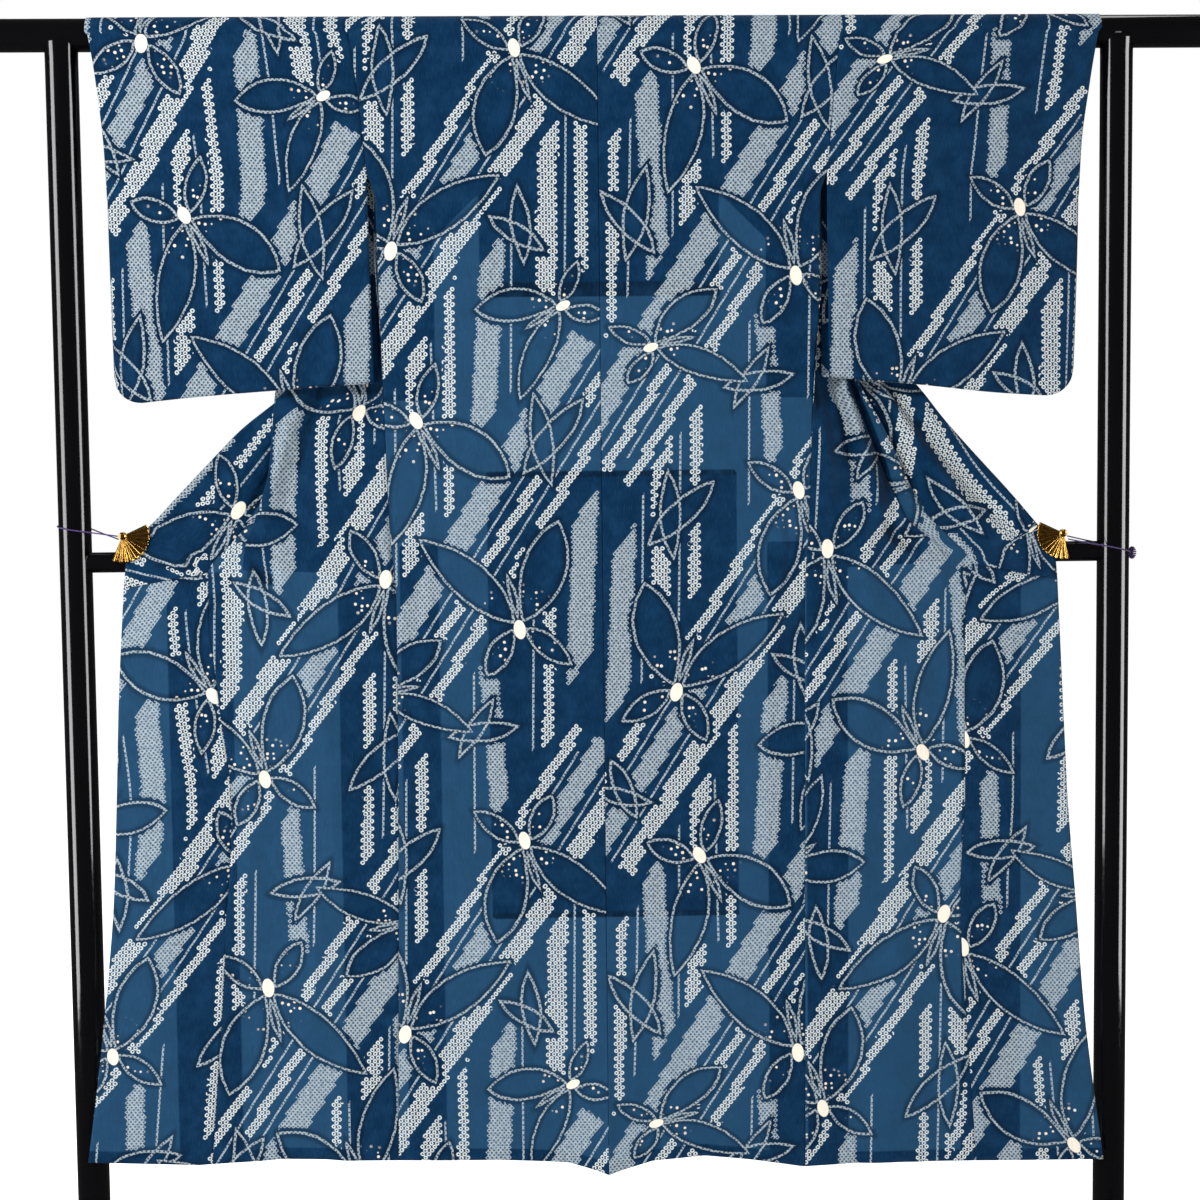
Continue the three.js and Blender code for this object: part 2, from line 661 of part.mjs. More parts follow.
function cordGeometry(side) {
  const path = new THREE.CatmullRomCurve3(cordRoute(side));
  const section = new THREE.Shape(Array.from({ length: 8 }, (_, i) => new THREE.Vector2(
    cordRadius * Math.cos(i * Math.PI / 4), cordRadius * Math.sin(i * Math.PI / 4))));
  const tube = new THREE.ExtrudeGeometry(section, { steps: 38, extrudePath: path, bevelEnabled: false });
  if (side === 'left') return tube;
  const knotPlace = cordRoute(side)[6];
  const knot = new THREE.SphereGeometry(knotRadius, 12, 8)
    .translate(knotPlace.x + knotRadius - 0.6, knotPlace.y, knotPlace.z);
  return geometryOf(solidOf(tube).add(solidOf(knot)));
}

buildStand();
for (const side of ['left', 'right']) {
  addMesh(garment, `back_${side}`, sheetGeometry(backGrid(side), clothWall), 'cloth');
  addMesh(garment, `front_${side}`, sheetGeometry(frontGrid(side), clothWall), 'cloth');
  addMesh(garment, `overlap_${side}`, sheetGeometry(overlapGrid(side), clothWall), 'cloth');
  addMesh(garment, `sleeve_${side}`, sleeveGeometry(side), 'cloth');
  addMesh(garment, `clip_${side}`, clipGeometry(clips[side]), 'gold');
  addMesh(object, `cord_${side}`, cordGeometry(side), 'cord');
}
addMesh(garment, 'collar', sheetGeometry(collarGrid(), clothWall), 'cloth');
for (const [name, sizes] of Object.entries(linings)) {
  addMesh(garment, name, sheetGeometry(liningGrid(sizes), liningWall), 'lining');
}

export default object;
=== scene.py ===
# A yukata hung by its sleeves on a kimono stand, seen from its back.
# The stand's and the robe's named sizes and tables are in millimetres. Points, meshes, the
# camera, the lights, the bolt's pattern and the materials are in metres.
import math

import bpy
import numpy as np
from mathutils import Matrix, Vector


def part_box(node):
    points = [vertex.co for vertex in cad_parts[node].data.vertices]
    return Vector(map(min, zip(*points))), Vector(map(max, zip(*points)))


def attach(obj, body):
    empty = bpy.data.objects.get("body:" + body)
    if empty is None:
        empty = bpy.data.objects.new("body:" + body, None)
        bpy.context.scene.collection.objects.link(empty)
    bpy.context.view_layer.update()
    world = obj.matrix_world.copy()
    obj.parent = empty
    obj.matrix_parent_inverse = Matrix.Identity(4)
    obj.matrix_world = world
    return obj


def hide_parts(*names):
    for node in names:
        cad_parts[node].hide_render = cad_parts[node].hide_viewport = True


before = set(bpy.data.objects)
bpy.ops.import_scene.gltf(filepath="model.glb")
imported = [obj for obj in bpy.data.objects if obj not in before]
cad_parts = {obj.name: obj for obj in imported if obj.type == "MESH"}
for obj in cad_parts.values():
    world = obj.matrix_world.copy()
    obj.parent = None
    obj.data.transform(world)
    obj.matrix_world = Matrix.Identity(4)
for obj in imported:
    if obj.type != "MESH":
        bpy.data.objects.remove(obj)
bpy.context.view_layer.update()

# Places and sizes of the stand, from the frame
MM = 0.001
rail_low, rail_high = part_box("top_rail")
mid_low, mid_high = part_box("mid_rail")
post_low, post_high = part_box("post_right")
RAIL_RADIUS = (rail_high[2] - rail_low[2]) / 2 / MM
RAIL_HEIGHT = (rail_high[2] + rail_low[2]) / 2 / MM
MID_RADIUS = (mid_high[2] - mid_low[2]) / 2 / MM
MID_HEIGHT = (mid_high[2] + mid_low[2]) / 2 / MM
POST_X = (post_high[0] + post_low[0]) / 2 / MM

# Driving sizes of the robe, in millimetres
GARMENT_SHIFT = 5
CLOTH_WALL = 1.2
SEAM_GAP = 0.3
RAIL_CLEARANCE = 0.6
HALF_WALL = CLOTH_WALL / 2
FOLD_RADIUS = RAIL_RADIUS + RAIL_CLEARANCE + HALF_WALL
FRONT_TOP = FOLD_RADIUS + SEAM_GAP
SHOWN_WALL = 0.5
NECK_HALF = 88
LONGEST_DROP = 1530
HEM_ZONE = 1158
CUFF_OPENING = 235
SLEEVE_SEAM = 205
SIDE_SEAM_TOP = 370
SLEEVE_CORNER = 37
SLEEVE_LAST = 476
COLLAR_NECK_DROP = 78
COLLAR_NECK_HALF = 42
COLLAR_NECK_DEPTH = 25.5
COLLAR_END_DEPTH = -18
OVERLAP_TOP = 722
OVERLAP_HEM_DEPTH = -26
FOLD_BEND = 14
INNER_BEND = 9
TURN_WIDTH = 3
SEWN_REACH = 40
SEWN_PINCH = 7
SEWN_SPACE = 0.4
SIDE_TUCK = 0.8
SLIT_COVER = 6
# The centre seam stands forward above the hem, and the cloth waves a little beside it
SEAM_RIDGE = 7
RIDGE_REACH = 16
RIDGE_TOP = 1200
HEM_WAVE = 1.5
HEM_WAVE_LENGTH = 45
# A lining lies this far behind the back's wall, and further at the seam that is rolled in
LINING_GAP = 0.5
LINING_RIDGE = 7
# Seam allowance turned under the neighbour: how far out and how far in behind
ALLOWANCE = [(0.1, 0.8), (0.9, 1.15), (4.5, 1.2)]
# How finely the panels are divided: from row to row, over the rail, and across each panel
ROW_STEP = 6
RAIL_ROWS = 19
BACK_COLUMNS = 67
FRONT_COLUMNS = [10, 14, 6, 6, 10, 6, 6, 12]
OVERLAP_COLUMNS = 38
COLLAR_COLUMNS = 21
SLEEVE_COLUMNS = 64
CUFF_COLUMNS = 13
SIGNS = {"left": -1, "right": 1}

# The camera, as the photograph was taken
FOCAL_LENGTH = 54.0
SENSOR = 36.0
CAMERA_BELOW_RAIL = 0.5931
CAMERA_PLACE = Vector((-0.0625, -2.4, RAIL_HEIGHT * MM - CAMERA_BELOW_RAIL))
CAMERA_YAW = math.radians(1.528)
CAMERA_TILT = math.radians(3.595)
CAMERA_ROLL = math.radians(-0.612)

# How bright the room is, as it lights the robe and as it shows
ROOM_LIGHT = 0.27
ROOM_SEEN = 1.0
ROOM_GLOSS = 0.06
FLOOR_GLOW = 0.80


def table(columns, *rows):
    """A dict of columns of numbers, from rows."""
    return dict(zip(columns.split(), np.array(rows, dtype=float).T))


# Half width of the body from the centre seam to its side, by the drop below the shoulder fold
BODY_SIDES = table(
    "drop left right",
    (0, 326, 320), (100, 312, 309), (205, 301, 299), (235, 291, 290), (370, 288, 288),
    (486, 285, 280), (669, 280, 274), (761, 273, 268), (1530, 283, 266),
)

# Distance of the sleeve's outer edge from the centre seam
SLEEVE_EDGES = table(
    "drop left right",
    (0, 661, 661), (86, 649, 647), (176, 642, 637), (305, 640, 634), (501, 636, 627),
)

# The inner edge of the sleeve below its seam, in the near and the far layer
SLEEVE_INNER = table(
    "drop left right far", (205, 301, 299, 301), (235, 301, 299, 293), (476, 297, 302, 293),
)

# The lower edge of the sleeve, by its distance from the centre seam
SLEEVE_BOTTOMS = table(
    "out left right", (297, 476, 473), (420, 484, 484), (530, 492, 496), (640, 503, 503),
)

# Where the middle of the sleeve hangs, and half the space between its two layers
SLEEVE_DEPTHS = table(
    "drop middle inner outer",
    (22.2, 0, 22.2, 22.2), (100, -2.17, 20.03, 16.5), (205, -5.1, 17.1, 6), (235, -5.9, 15.6, 3.2),
    (370, -10, 8, 3.2), (430, -12, 5.5, 3.2), (503, -13, 3.2, 3.2),
)

# The lower edge of the whole robe, left is negative
HEM_LINE = table(
    "x drop",
    (-700, 1510), (-550, 1518), (-440, 1513), (-286, 1517), (-150, 1519), (-55, 1525), (0, 1541),
    (60, 1524), (130, 1519), (190, 1526), (262, 1537), (400, 1533), (540, 1534), (690, 1534),
)

# Sections of a front half, drawn outward from the side seam: a fold, a second fold further in,
# the seam of the collar or overlap, and the collar's free edge
SECTION_COLUMNS = "drop turn fold_x fold_y back_x back_y seam_x seam_y rim_x rim_drop rim_y"
ABOVE_THE_PULL = [
    (120, 0, 250, 21, 195, 23, 146, 24, 88, 166, 28),
    (205, 0, 262, 19, 225, 22, 195, 24, 140, 218, 29),
    (270, 0, 270, 15, 250, 20, 238, 23, 188, 265, 30),
    (320, 0.2, 279, 8, 272, 16, 268, 22, 235, 311, 31),
    (370, 1, 290, 0, 290, 9, 292, 17, 285, 358, 30),
]
FRONT_SECTIONS = {
    "left": table(
        SECTION_COLUMNS,
        (22.5, 0, 247, 22.2, 167, 22.2, 88, 22.2, 42, 118, 26),
        *ABOVE_THE_PULL,
        (400, 1, 322, 3.5, 300, 9, 309, 15, 330, 402, 26),
        (430, 1, 368, 3.5, 308, 9, 326, 14.5, 368, 440, 21),
        (486, 1, 430, 2, 332, 7.5, 354, 13, 415, 485, 16),
        (540, 0.4, 434, -8, 366, -3, 388, 2.5, 475, 533, 8),
        (590, 0, 438, -16, 396, -11, 418, -5.5, 515, 574, 1),
        (627, 0, 448, -19, 422, -14, 442, -9, 545, 606, -5),
        (660, 0, 459, -20.5, 446, -15.8, 468, -11.8, 570, 633, -10),
        (690, 0, 471, -21, 468, -17, 494, -14.5, 590, 655, -14.5),
        (722, 0, 474, -21.5, 492, -18.2, 520, -17.6, 604, 668, -17.6),
        (761, 0, 462, -22, 490, -19.5, 520, -18.5, 0, 0, 0),
        (891, 0, 430, -22, 470, -20.5, 510, -20, 0, 0, 0),
        (1024, 0, 395, -22, 446, -21, 496, -20.5, 0, 0, 0),
        (1158, 0, 372, -23, 438, -21, 503, -20.5, 0, 0, 0),
        (1530, 0, 366, -25, 448, -19, 532, -22, 0, 0, 0),
    ),
    "right": table(
        SECTION_COLUMNS,
        (22.5, 0, 245, 22.2, 167, 22.2, 88, 22.2, 42, 118, 26),
        *ABOVE_THE_PULL,
        (400, 1, 310, 3.5, 297, 9, 309, 15, 332, 400, 26),
        (430, 1, 322, 3.5, 302, 9, 322, 14.5, 374, 438, 21),
        (486, 1, 336, 2, 309, 7.5, 346, 13, 424, 482, 16),
        (540, 0.4, 354, -8, 326, -3, 374, 2.5, 459, 528, 8),
        (590, 0, 374, -15, 342, -10, 396, -4.5, 487, 562, 1),
        (627, 0, 389, -18.5, 356, -13.5, 412, -8.5, 510, 589, -5),
        (660, 0, 403, -20.5, 378, -15.8, 436, -11.8, 538, 621, -10),
        (690, 0, 437, -21, 424, -17, 466, -14.5, 561, 648, -14.5),
        (722, 0, 458, -21.5, 474, -18.2, 493, -17.6, 580, 671, -17.6),
        (761, 0, 450, -22, 468, -19.5, 484, -18.5, 0, 0, 0),
        (891, 0, 415, -22, 452, -20.5, 482, -20, 0, 0, 0),
        (1024, 0, 385, -22, 436, -21, 483, -20.5, 0, 0, 0),
        (1158, 0, 360, -23, 420, -21, 477, -20.5, 0, 0, 0),
        (1530, 0, 350, -19, 428, -24, 499, -22, 0, 0, 0),
    ),
}

# The rows that have a rim, above the collar's end
RIM_ROWS = 15

# The end of the collar beside the clip, from the overlap's seam to the front edge
COLLAR_ENDS = {
    "left": table("seam_x seam_drop rim_x rim_drop",
                  (557, 729, 611, 675), (594, 736, 618, 682), (631, 742, 625, 689)),
    "right": table("seam_x seam_drop rim_x rim_drop",
                   (531, 730, 588, 680), (569, 738, 596, 689), (607, 744, 603, 697)),
}

# The free front edge of the overlap, from the collar's end to the hem
OVERLAP_EDGES = {
    "left": table("drop out", (742, 631), (889, 641), (1022, 647), (1156, 654), (1291, 667),
                  (1427, 683), (1530, 697)),
    "right": table("drop out", (744, 607), (907, 615), (1042, 622), (1178, 633), (1315, 644),
                   (1401, 654), (1530, 672)),
}

# Pieces of cloth that line the back inside: left, right, top and bottom, and the cut's width and
# length in metres
LININGS = {
    "shoulder_lining": ((-157, 157, 36, 366), (0.314, 0.33)),
    "seat_lining": ((-152, 178, 594, 1190), (0.33, 0.596)),
}


# Curves and grids
def smooth(rows, column, at, key="drop"):
    """A column of a table between its rows, on a smooth line that never overshoots."""
    xs, ys = rows[key], rows[column]
    steps = np.diff(xs)
    slopes = np.diff(ys) / steps
    turning = slopes[:-1] * slopes[1:] <= 0
    total = slopes[:-1] + slopes[1:]
    inner = np.where(turning, 0, 2 * slopes[:-1] * slopes[1:] / np.where(total == 0, 1, total))
    tangents = np.concatenate([slopes[:1], inner, slopes[-1:]])
    i = np.clip(np.searchsorted(xs, at) - 1, 0, len(steps) - 1)
    t = np.clip((at - xs[i]) / steps[i], 0, 1)
    rise = 3 * t ** 2 - 2 * t ** 3
    leave = t ** 3 - 2 * t ** 2 + t
    arrive = t ** 3 - t ** 2
    return (ys[i] * (1 - rise) + ys[i + 1] * rise
            + steps[i] * (tangents[i] * leave + tangents[i + 1] * arrive))


def ramp(value, low, high):
    """0 below low, 1 above high and a soft S between them."""
    t = np.clip((value - low) / (high - low), 0, 1)
    return t * t * (3 - 2 * t)


def through(points, stations):
    """Points on a smooth curve through rows of points, shaped (rows, points, axes)."""
    first = 2 * points[:, :1] - points[:, 1:2]
    last = 2 * points[:, -1:] - points[:, -2:-1]
    p = np.concatenate([first, points, last], axis=1)
    gaps = np.maximum(np.linalg.norm(np.diff(p, axis=1), axis=2) ** 0.5, 1e-4)[..., None]
    i = np.minimum(stations.astype(int), points.shape[1] - 2)
    t = (stations - i)[None, :, None]
    a, b, c, d = (p[:, i + k] for k in range(4))
    g0, g1, g2 = (gaps[:, i + k] for k in range(3))
    leave = ((b - a) / g0 - (c - a) / (g0 + g1) + (c - b) / g1) * g1
    arrive = ((c - b) / g1 - (d - b) / (g1 + g2) + (d - c) / g2) * g1
    rise = 3 * t ** 2 - 2 * t ** 3
    return (b * (1 - rise) + c * rise + leave * (t ** 3 - 2 * t ** 2 + t)
            + arrive * (t ** 3 - t ** 2))


def spaced(start, end, step):
    """Numbers from start to end, about step apart."""
    return np.linspace(start, end, max(2, round(abs(end - start) / step) + 1))


def cloth_points(x, y, drop):
    """Points of the robe in the frame, from millimetres across, deep and down from the fold."""
    x, y, drop = np.broadcast_arrays(x, y, drop)
    return np.stack([x + GARMENT_SHIFT, y, RAIL_HEIGHT + FOLD_RADIUS - drop], axis=-1) * MM


def robe_places(grid):
    """Millimetres across from the centre seam and down from the fold, for points of the robe."""
    return (grid[..., 0] / MM - GARMENT_SHIFT,
            RAIL_HEIGHT + FOLD_RADIUS - grid[..., 2] / MM)


def grid_normals(grid):
    """Unit directions square to a grid of points."""
    normals = np.cross(np.gradient(grid, axis=0), np.gradient(grid, axis=1))
    return normals / np.maximum(np.linalg.norm(normals, axis=2, keepdims=True), 1e-12)


def along_rows(grid):
    """How far each point lies along its row from the row's first point."""
    steps = np.linalg.norm(np.diff(grid, axis=1), axis=2)
    return np.concatenate([np.zeros((len(grid), 1)), np.cumsum(steps, axis=1)], axis=1)


def along_columns(grid):
    return along_rows(grid.transpose(1, 0, 2)).T


# Form of the robe
def hem_drop(drop, x):
    share = np.clip((drop - HEM_ZONE) / (LONGEST_DROP - HEM_ZONE), 0, 1)
    low = np.interp(x, HEM_LINE["x"], HEM_LINE["drop"])
    return np.where(drop <= HEM_ZONE, drop, HEM_ZONE + share * (low - HEM_ZONE))


def back_depth(x, drop):
    """The centre seam stands forward as a soft ridge above the hem."""
    low = ramp(drop, RIDGE_TOP, LONGEST_DROP)
    ridge = SEAM_RIDGE * np.exp(-np.abs(x) / RIDGE_REACH)
    return -FOLD_RADIUS - low * (ridge + HEM_WAVE * np.sin(x / HEM_WAVE_LENGTH))


def over_rail(x, angles):
    """Rows of points over the rail."""
    y = -FOLD_RADIUS * np.cos(angles)[:, None]
    drop = FOLD_RADIUS * (1 - np.sin(angles))[:, None]
    return cloth_points(x[None, :], y, drop)


def back_grid(side):
    sign = SIGNS[side]
    shares = seam_shares(BACK_COLUMNS, BODY_SIDES[side][0])
    angles = np.linspace(math.pi, 0, RAIL_ROWS)
    across = SEAM_GAP / 2 + shares * (BODY_SIDES[side][0] - SEAM_GAP / 2)
    top = over_rail(sign * across, angles)
    drops = spaced(FOLD_RADIUS, LONGEST_DROP, ROW_STEP)[1:, None]
    half = smooth(BODY_SIDES, side, drops) - SEAM_GAP / 2
    rolled_side = roll_in((1 - shares) * half)
    x = sign * (SEAM_GAP / 2 + shares * half + SIDE_TUCK * rolled_side / ROLL_RADIUS)
    depth = back_depth(x, drops) + roll_in(shares * half) + rolled_side
    hanging = cloth_points(x, depth, hem_drop(drops, x))
    return np.concatenate([top, hanging])


def sleeve_depth(drop, share, layer):
    inner = smooth(SLEEVE_DEPTHS, "inner", drop)
    outer = smooth(SLEEVE_DEPTHS, "outer", drop)
    space = outer + (inner - outer) * np.sqrt(np.clip(1 - share, 0, 1))
    return smooth(SLEEVE_DEPTHS, "middle", drop) + layer * space


def front_side(side, drop, turn):
    """The edge of a front half: on the sleeve's far layer above, on the side seam below."""
    half = smooth(BODY_SIDES, side, drop)
    share = np.clip((drop - SLEEVE_SEAM) / (SIDE_SEAM_TOP - SLEEVE_SEAM), 0, 1)
    above = sleeve_depth(np.minimum(drop, SLEEVE_SEAM), 0, 1)
    depth = above + share * (-FOLD_RADIUS - above)
    cover = SLIT_COVER * 4 * share * (1 - share)
    return half + share * (SEAM_GAP + turn * (HALF_WALL + 0.1)) + cover, depth


def front_grid(side):
    sign = SIGNS[side]
    drop = spaced(FRONT_TOP, LONGEST_DROP, ROW_STEP)
    rows = FRONT_SECTIONS[side]
    turn, fold_x, fold_y, back_x, back_y, seam_x, seam_y = (
        smooth(rows, name, drop)
        for name in ("turn", "fold_x", "fold_y", "back_x", "back_y", "seam_x", "seam_y")
    )
    side_x, side_y = front_side(side, drop, turn)

    def toward(start, end, most):
        return start + np.sign(end - start) * np.minimum(most, 0.3 * np.abs(end - start))

    def mix(a, b, share):
        return a + (b - a) * share

    elbow = (mix((side_x + fold_x) / 2, side_x + TURN_WIDTH, turn),
             mix((side_y + fold_y) / 2, fold_y, turn))
    outline = [
        (side_x, side_y),
        elbow,
        (toward(fold_x, side_x, FOLD_BEND), fold_y),
        (fold_x, mix(fold_y, back_y, 0.4)),
        (toward(fold_x, back_x, FOLD_BEND), mix(fold_y, back_y, 0.8)),
        (toward(back_x, fold_x, INNER_BEND), back_y),
        (back_x, mix(back_y, seam_y, 0.4)),
        (toward(back_x, seam_x, INNER_BEND), mix(back_y, seam_y, 0.8)),
        (seam_x, seam_y),
    ]
    points = np.stack([np.stack(pair, axis=-1) for pair in outline], axis=1)
    stations = np.concatenate([i + np.arange(n) / n for i, n in enumerate(FRONT_COLUMNS)]
                              + [[len(FRONT_COLUMNS)]])
    curve = through(points, stations)
    allowance = curve[:, -1:] + np.array(ALLOWANCE)
    curve = np.concatenate([curve, allowance], axis=1)
    x = sign * curve[..., 0]
    return cloth_points(x, curve[..., 1], hem_drop(drop[:, None], x))


def overlap_grid(side):
    sign = SIGNS[side]
    ends = COLLAR_ENDS[side]["seam_drop"]
    tops = np.array([OVERLAP_TOP, *ends]) + SEAM_GAP
    across = np.linspace(0, 1, OVERLAP_COLUMNS)
    top = np.interp(across, np.linspace(0, 1, len(tops)), tops)
    drop = spaced(OVERLAP_TOP, LONGEST_DROP, ROW_STEP)[:, None]
    share = (drop - OVERLAP_TOP) / (LONGEST_DROP - OVERLAP_TOP)
    rows = FRONT_SECTIONS[side]
    inner = smooth(rows, "seam_x", drop) + SEAM_GAP
    inner_y = smooth(rows, "seam_y", drop)
    level = top + (LONGEST_DROP - top) * share
    outer = smooth(OVERLAP_EDGES[side], "out", level)
    x = sign * (inner + (outer - inner) * across)
    outer_y = COLLAR_END_DEPTH + (OVERLAP_HEM_DEPTH - COLLAR_END_DEPTH) * share
    y = inner_y + (outer_y - inner_y) * across
    grid = cloth_points(x, y, hem_drop(level, x))
    turned_up = [grid[:1] + np.array([0, depth, rise]) * MM for rise, depth in ALLOWANCE[::-1]]
    return np.concatenate([*turned_up, grid])


def collar_half(side):
    """Pairs of points on the collar's seam and rim, from the neck to the clip."""
    sign = SIGNS[side]
    rows = FRONT_SECTIONS[side]
    drop = spaced(FRONT_TOP, OVERLAP_TOP, 2 * ROW_STEP)
    read = {name: smooth(rows, name, drop) for name in ("seam_x", "seam_y")}
    kept = {name: rows[name][:RIM_ROWS] for name in ("drop", "rim_x", "rim_drop", "rim_y")}
    rim = {name: smooth(kept, name, drop) for name in ("rim_x", "rim_drop", "rim_y")}
    seams = cloth_points(sign * read["seam_x"], read["seam_y"], drop)
    rims = cloth_points(sign * rim["rim_x"], rim["rim_y"], rim["rim_drop"])
    end = COLLAR_ENDS[side]
    end_seams = cloth_points(sign * end["seam_x"], COLLAR_END_DEPTH, end["seam_drop"])
    end_rims = cloth_points(sign * end["rim_x"], COLLAR_END_DEPTH, end["rim_drop"])
    seams = np.concatenate([seams, end_seams])
    rims = np.concatenate([rims, end_rims])
    toward = rims - seams
    toward /= np.linalg.norm(toward, axis=1, keepdims=True)
    return seams + toward * SEAM_GAP * MM, rims


def resample(points, step):
    """Points about step apart on a smooth curve through a list of points."""
    lengths = np.concatenate([[0], np.cumsum(np.linalg.norm(np.diff(points, axis=0), axis=1))])
    at = spaced(0, lengths[-1], step)
    stations = np.interp(at, lengths, np.arange(len(points)))
    return through(points[None], stations)[0]


def collar_grid():
    shares = np.array([-0.66, -0.33, 0, 0.33, 0.66])
    neck_seams = cloth_points(shares * NECK_HALF, FOLD_RADIUS, FRONT_TOP)
    neck_rims = cloth_points(shares * COLLAR_NECK_HALF, COLLAR_NECK_DEPTH,
                             COLLAR_NECK_DROP + np.abs(shares) * 40)
    left_seams, left_rims = collar_half("left")
    right_seams, right_rims = collar_half("right")
    seams = np.concatenate([left_seams[::-1], neck_seams, right_seams])
    rims = np.concatenate([left_rims[::-1], neck_rims, right_rims])
    pairs = resample(np.concatenate([seams, rims], axis=1), ROW_STEP * MM * 1.4)
    across = np.linspace(0, 1, COLLAR_COLUMNS)[None, :, None]
    return pairs[:, None, :3] * (1 - across) + pairs[:, None, 3:] * across


def lining_grid(left, right, top, bottom):
    x = spaced(left, right, ROW_STEP)[None, :]
    drop = spaced(top, bottom, ROW_STEP)[:, None]
    over_seam = 0.7 * ROLL_RADIUS * np.exp(-(x / LINING_RIDGE) ** 2)
    behind = HALF_WALL + SEAM_GAP + LINING_GAP + over_seam
    return cloth_points(x, back_depth(x, drop) + behind, drop)


def sleeve_layer(side, facing, shares, drops):
    sign = SIGNS[side]
    inner_column = "far" if facing > 0 else side

    def inner_x(drop):
        body = smooth(BODY_SIDES, side, drop)
        free = smooth(SLEEVE_INNER, inner_column, drop)
        return SEAM_GAP + np.where(drop <= SLEEVE_SEAM, body, free)

    def outer_x(drop):
        return smooth(SLEEVE_EDGES, side, drop)

    drop = drops[:, None]
    width = outer_x(np.array(SLEEVE_LAST)) - inner_x(np.array(SLEEVE_LAST))
    out = inner_x(drop) + shares * (outer_x(drop) - inner_x(drop))
    inside = np.clip(SLEEVE_CORNER - (1 - shares) * width, 0, None)
    rise = SLEEVE_CORNER - np.sqrt(np.clip(SLEEVE_CORNER ** 2 - inside ** 2, 0, None))
    bottom = smooth(SLEEVE_BOTTOMS, side, out, key="out") - rise
    level = drop + ramp(drop, CUFF_OPENING, SLEEVE_LAST) * (bottom - SLEEVE_LAST)
    x = inner_x(level) + shares * (outer_x(level) - inner_x(level))
    middle = smooth(SLEEVE_DEPTHS, "middle", level)
    space = sleeve_depth(level, shares, 1) - middle
    to_edge = np.where(drop > CUFF_OPENING, (1 - shares) * width, SEWN_REACH)
    sewn = np.minimum(np.clip(SLEEVE_LAST - drop, 0, SEWN_REACH), to_edge)
    pinch = np.sqrt(np.clip(1 - (1 - np.clip(sewn / SEWN_PINCH, 0, 1)) ** 2, 0, 1))
    depth = middle + facing * (SEWN_SPACE + (space - SEWN_SPACE) * pinch)
    return cloth_points(sign * x, depth, level)


def sleeve_grid(side):
    shares = np.concatenate([np.linspace(0, 0.93, SLEEVE_COLUMNS)[:-1],
                             np.linspace(0.93, 1, CUFF_COLUMNS)])
    drops = spaced(FOLD_RADIUS, SLEEVE_LAST, ROW_STEP * 0.9)[1:]
    near = sleeve_layer(side, -1, shares, drops)
    far = sleeve_layer(side, 1, shares, drops)
    inner = BODY_SIDES[side][0] + SEAM_GAP
    across = inner + shares * (SLEEVE_EDGES[side][0] - inner)
    fold = over_rail(SIGNS[side] * across, np.linspace(0, math.pi, RAIL_ROWS))
    return np.concatenate([near[::-1], fold, far])


